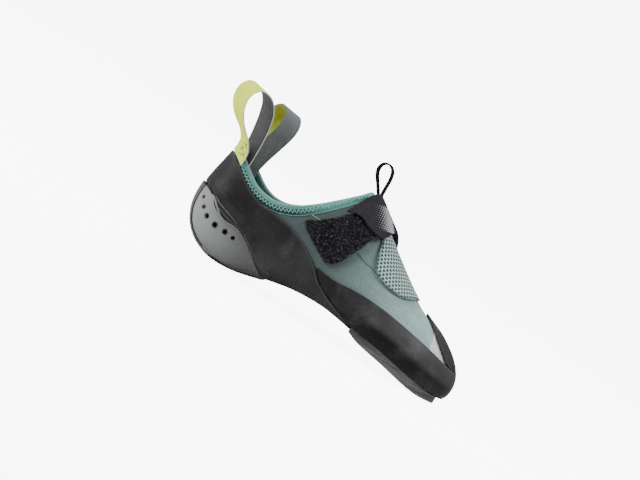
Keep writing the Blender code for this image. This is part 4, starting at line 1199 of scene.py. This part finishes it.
# %% [markdown]
# ## Pile of the closure
#
# The strap closes on a pad of curly pile. From nearby it is thousands of small loops of yarn, which
# no bump can show at the pad's outline. One curl is a small triangle spun round an arc, so it has few
# faces, and copies of it are scattered over the pad's outside, by the area of its faces.

# %% Curls
CURLS, CLEAR_OF_STRAP = 3800, 1.8 * MM
rng = np.random.default_rng(7)
bpy.ops.mesh.primitive_circle_add(vertices=3, radius=0.15, location=(0.6, 0, 0), rotation=(math.pi / 2, 0, 0))
curl = bpy.context.object
bpy.ops.object.transform_apply(location=True, rotation=True, scale=True)
bpy.ops.object.mode_set(mode="EDIT")
bpy.ops.mesh.select_all(action="SELECT")
bpy.ops.mesh.spin(steps=6, angle=math.radians(235), center=(0, 0, 0), axis=(0, 0, 1))
bpy.ops.mesh.normals_make_consistent(inside=False)
bpy.ops.object.mode_set(mode="OBJECT")
curl_points = np.array([vertex.co[:] for vertex in curl.data.vertices])
curl_faces = [list(face.vertices) for face in curl.data.polygons]
bpy.data.objects.remove(curl)

strap_surface = surface_of(strap)
pad_faces = [face for face in pad.data.polygons if outward(face) > 0.0]
areas = np.array([face.area for face in pad_faces])
frames = []
for choice in rng.choice(len(pad_faces), CURLS, p=areas / areas.sum()):
    face = pad_faces[choice]
    corners = [pad.data.vertices[corner].co for corner in face.vertices]
    weights = rng.dirichlet(np.ones(len(corners)))
    place = sum((corner * float(weight) for corner, weight in zip(corners, weights)), Vector())
    if strap_surface.find_nearest(place)[3] < CLEAR_OF_STRAP:
        continue
    size = rng.uniform(1.0, 2.1) * MM
    lean = Vector(rng.normal(size=3) * 0.55) + face.normal
    spin_axis = lean.cross(Vector(rng.normal(size=3))).normalized()
    up_axis = lean.normalized()
    flat_axis = spin_axis.cross(up_axis).normalized()
    axes = Matrix((flat_axis * size, up_axis * size, spin_axis * size)).transposed()
    frames.append((axes, place + face.normal * rng.uniform(-0.1, 0.35) * MM))
many("strap_pad_curls", curl_points, curl_faces, frames, pile_black)
print(len(frames), "curls of", len(curl_faces), "faces")

# %% [markdown]
# ## Seams
#
# Panels of cloth are sewn along their edges. The rows follow the border lines found before: a point
# moved a little way inwards from the border is draped on the piece, and the stitches follow.

# %% Border rows


def inset_row(node, distance, step):
    """A path inside a piece's longest border, a given distance from it."""
    return smooth_path([place + inner * distance for place, inner in borders[node][0]], step, closed=True)


panel_surface = surface_of(panel)
sew("panel_overlock", inset_row("instep_panel", 1.5 * MM, 1.0 * MM), panel_surface, dark_thread,
    2.0 * MM, 0.16 * MM, math.radians(65))
sew("panel_edge_row", inset_row("instep_panel", 0.35 * MM, 1.3 * MM), panel_surface, dark_thread,
    1.4 * MM, 0.24 * MM)
piping("panel_cord", on_surface(inset_row("instep_panel", 0.1 * MM, 0.8 * MM), panel_surface), 0.32 * MM,
       dark_teal_thread, closed=True)
sew("strap_edge_row", inset_row("strap", 1.6 * MM, 2.0 * MM), strap_surface, black_thread,
    1.5 * MM, 0.16 * MM)
print("rows on the panel and the strap")

# %% [markdown]
# The print on the strap reads a map of its own. Its middle and its two directions are taken from where
# the photograph shows it.

# %% Map of the print
spots = seen_at([(383, 218), (372, 214), (392, 222), (378, 208), (388, 229)], strap_surface)
centre, u_way, v_way = spots[0], (spots[2] - spots[1]).normalized(), spots[3] - spots[4]
v_way = (v_way - u_way * v_way.dot(u_way)).normalized()
offsets = [vertex.co - centre for vertex in strap.data.vertices]
lay_map(strap, [(offset.dot(u_way), offset.dot(v_way)) for offset in offsets], "print")
strap.data.uv_layers.active_index = 0
print("the print's middle is at", [round(value / MM) for value in centre])

# %% [markdown]
# Seams of the upper are placed from the photograph: each is a line of points in the picture, found on
# the upper, and for the other side mirrored across the shoe and draped again.

# %% Seams of the upper


def across_shoe(points, shift=0.0):
    """The same places on the shoe's other side."""
    return [Vector((place.x, -place.y + shift, place.z)) for place in points]


def seam(name, pixels, finish, surface, both=True, radius=0.16 * MM):
    """A thin cord along a line of the photograph, on one side of the shoe or on both."""
    found = seen_at(pixels, surface)
    if len(found) < 2:
        print(name, "was not found")
        return
    sides = [("near", found)]
    if both:
        sides.append(("far", across_shoe(found, 4 * MM)))
    for side, points in sides:
        landed = on_surface(smooth_path(points, 0.8 * MM), surface, 0.02 * MM)
        piping(name + "_" + side, landed, radius, finish)


seam("collar_seam", [(304, 208), (309, 213), (315, 217), (321, 221)], pale_thread, shell,
     radius=0.32 * MM)
seam("instep_seam", [(357, 253), (364, 262), (371, 268), (377, 275), (384, 283), (393, 292)], dark_thread,
     shell, both=False, radius=0.42 * MM)
seam("far_edge_seam", [(409, 277), (413, 287), (417, 301)], dark_thread, shell, both=False)
seam("heel_top_seam", [(203, 180), (209, 186), (217, 197)], pale_thread, surface_of(sling, *cups),
     both=False)

# %% [markdown]
# ## Moulded heel
#
# The heel's side is moulded with a shallow lens of ridges round its vent holes. Each ridge is a cord
# that is half sunk in the rubber. The inner side has the same, so its points are carried across.
# Cords also fill the joint round each cup: grey at the front, and at the back a black cord that is a
# painted shadow in the groove. Each vent hole has a dark ring of painted shade, and a black place of
# painted shade on the upper behind it.

# %% Ridges of the heel
heel_surface = surface_of(sling, *cups, upper)
cup_surface = surface_of(*cups)
FRONT_X, SLANT_BELOW, SLANT, LOW_END = -0.026, 0.055, 0.35, 0.004
for cup, side in zip(("heel_cup_outer", "heel_cup_inner"), ("near", "far")):
    edge_line = inset_row(cup, -0.35 * MM, 0.8 * MM)
    front = [place for place in edge_line
             if place.x > FRONT_X + max(0.0, SLANT_BELOW - place.z) * SLANT and place.z > LOW_END]
    back = [place for place in edge_line if place not in front]
    # the black joint cord at the back of each cup is a painted shadow in its groove
    for part, line, radius, finish in (("fillet", front, 0.75 * MM, moulded),
                                       ("joint", back, 0.5 * MM, black_rubber_and_painted_shade)):
        start = max(range(len(line)), key=lambda index: (line[index] - line[index - 1]).length)
        piping("cup_%s_%s" % (part, side), line[start:] + line[:start], radius, finish)
    # painted shade: each vent gets a dark ring round its countersink
    for index, vent in enumerate(borders[cup][1:]):
        points = [place for place, _ in vent]
        middle = sum(points, Vector()) / len(points)
        ring = [place + (place - middle).normalized() * 0.30 * MM for place in points]
        ring = on_surface(smooth_path(ring, 0.4 * MM, closed=True), cup_surface, -0.12 * MM)
        piping("vent_ring_%s_%d" % (side, index), ring, 0.36 * MM, black_rubber_and_painted_shade, closed=True)
ridges = {
    "lens_rear": [(216, 196), (214.5, 202), (217, 210), (221, 217), (229, 223), (239, 229)],
    "lens_middle": [(216.2, 198), (217.5, 204.5), (222, 211.5), (229, 219.5), (238, 227)],
    "lens_front": [(217, 197), (220.5, 203), (225, 208.5), (231, 215.5), (238, 224.5)],
    "front_ridge": [(245, 235), (258, 262), (270, 275)],
}
for name, pixels in ridges.items():
    seam("cup_" + name, pixels, moulded, heel_surface, radius=0.28 * MM)
vents = [(205, 197), (204.5, 207), (207.5, 216), (215, 224), (225, 232), (233.5, 238)]
DARK_RADIUS = 6.5 * MM
behind = seen_at(vents, shell)
behind += across_shoe(behind)
# painted shade: faces of the upper behind the vents turn black, so the holes read dark
for face in outer_faces:
    if any((face.center - hit).length < DARK_RADIUS for hit in behind):
        face.material_index = 2
print("ridges and", len(behind), "vents")

# %% [markdown]
# Two small patches are cut to lines of the photograph: the dark recess beside the vents, and the pale
# cloth that shows between the toe patch and the rand. A patch is ruled between two lines and draped.

# %% Patches


def patch_between(name, first, second, surface, finish, lift, sides=("near",), steps=14, cells=5):
    """A thin patch between two lines of the photograph, which meet at both ends."""
    rows = []
    for line in (first, second):
        flat = smooth_path([(x, y, 0) for x, y in line], 0.1)
        rows.append([flat[round(index * (len(flat) - 1) / steps)] for index in range(steps + 1)])
    for side in sides:
        corners = []
        for start, end in zip(*rows):
            for cell in range(cells + 1):
                pixel = start.lerp(end, cell / cells)
                hit = seen_at([(pixel.x, pixel.y)], surface)
                corners.append(hit[0] if hit else corners[-1])
        if side == "far":
            corners = across_shoe(corners)
        corners = on_surface(corners, surface, lift)
        piece = mesh_piece(name + "_" + side, corners, grid_faces(steps + 1, cells + 1))
        lay_map(piece, [(place.x, place.z) for place in corners])
        only(piece)
        bpy.ops.object.mode_set(mode="EDIT")
        bpy.ops.mesh.select_all(action="SELECT")
        bpy.ops.mesh.remove_doubles(threshold=WELD_DISTANCE)
        bpy.ops.mesh.normals_make_consistent(inside=False)
        bpy.ops.object.mode_set(mode="OBJECT")
        thicken_sheet(piece, 0.3 * MM)
        bpy.ops.object.shade_smooth_by_angle(angle=SMOOTH_BELOW)
        finish_piece(piece, finish)


patch_between("cup_recess", [(216, 196), (214.8, 202), (217, 210), (221, 217), (229, 223.5), (239, 229)],
              [(216, 196), (218.5, 201), (223, 208), (227, 212.5), (232, 219), (239, 229)],
              heel_surface, black_rubber_and_painted_shade, 0.25 * MM, ("near", "far"))
patch_between("toe_cloth", [(432.5, 332), (430.5, 340), (427.5, 347), (436, 359), (447, 371)],
              [(432.5, 332), (437, 339), (442, 349), (446, 359), (447, 371)],
              shell, toe_cloth, 0.2 * MM)

# %% [markdown]
# Each pull loop is sewn down near one end with a box and a cross, which stops it tearing off.

# %% Boxes on the loops


BOX_START, BOX_END, BOX_HALF_WIDTH = 3, 12, 5.5 * MM


def box_stitch(name, loop, middle):
    """A sewn box and its cross on a webbing, near the webbing's start."""
    surface = surface_of(loop)
    first, last = middle[BOX_START], middle[BOX_END]
    shift = away(first) * 1.5 * MM
    side = (last - first).normalized().cross(away(first)).normalized() * BOX_HALF_WIDTH
    corners = [first + side, first - side, last - side, last + side]
    pairs = ((0, 1), (1, 2), (2, 3), (3, 0), (0, 2), (1, 3))
    lines = [(corners[begin], corners[end]) for begin, end in pairs]
    for index, (begin, end) in enumerate(lines):
        sew("%s_%d" % (name, index), smooth_path([begin + shift, end + shift], 1.5 * MM), surface,
            olive_thread, 1.5 * MM, 0.32 * MM)


box_stitch("near_box", near_loop, near_middle)
box_stitch("far_box", far_loop, far_middle)
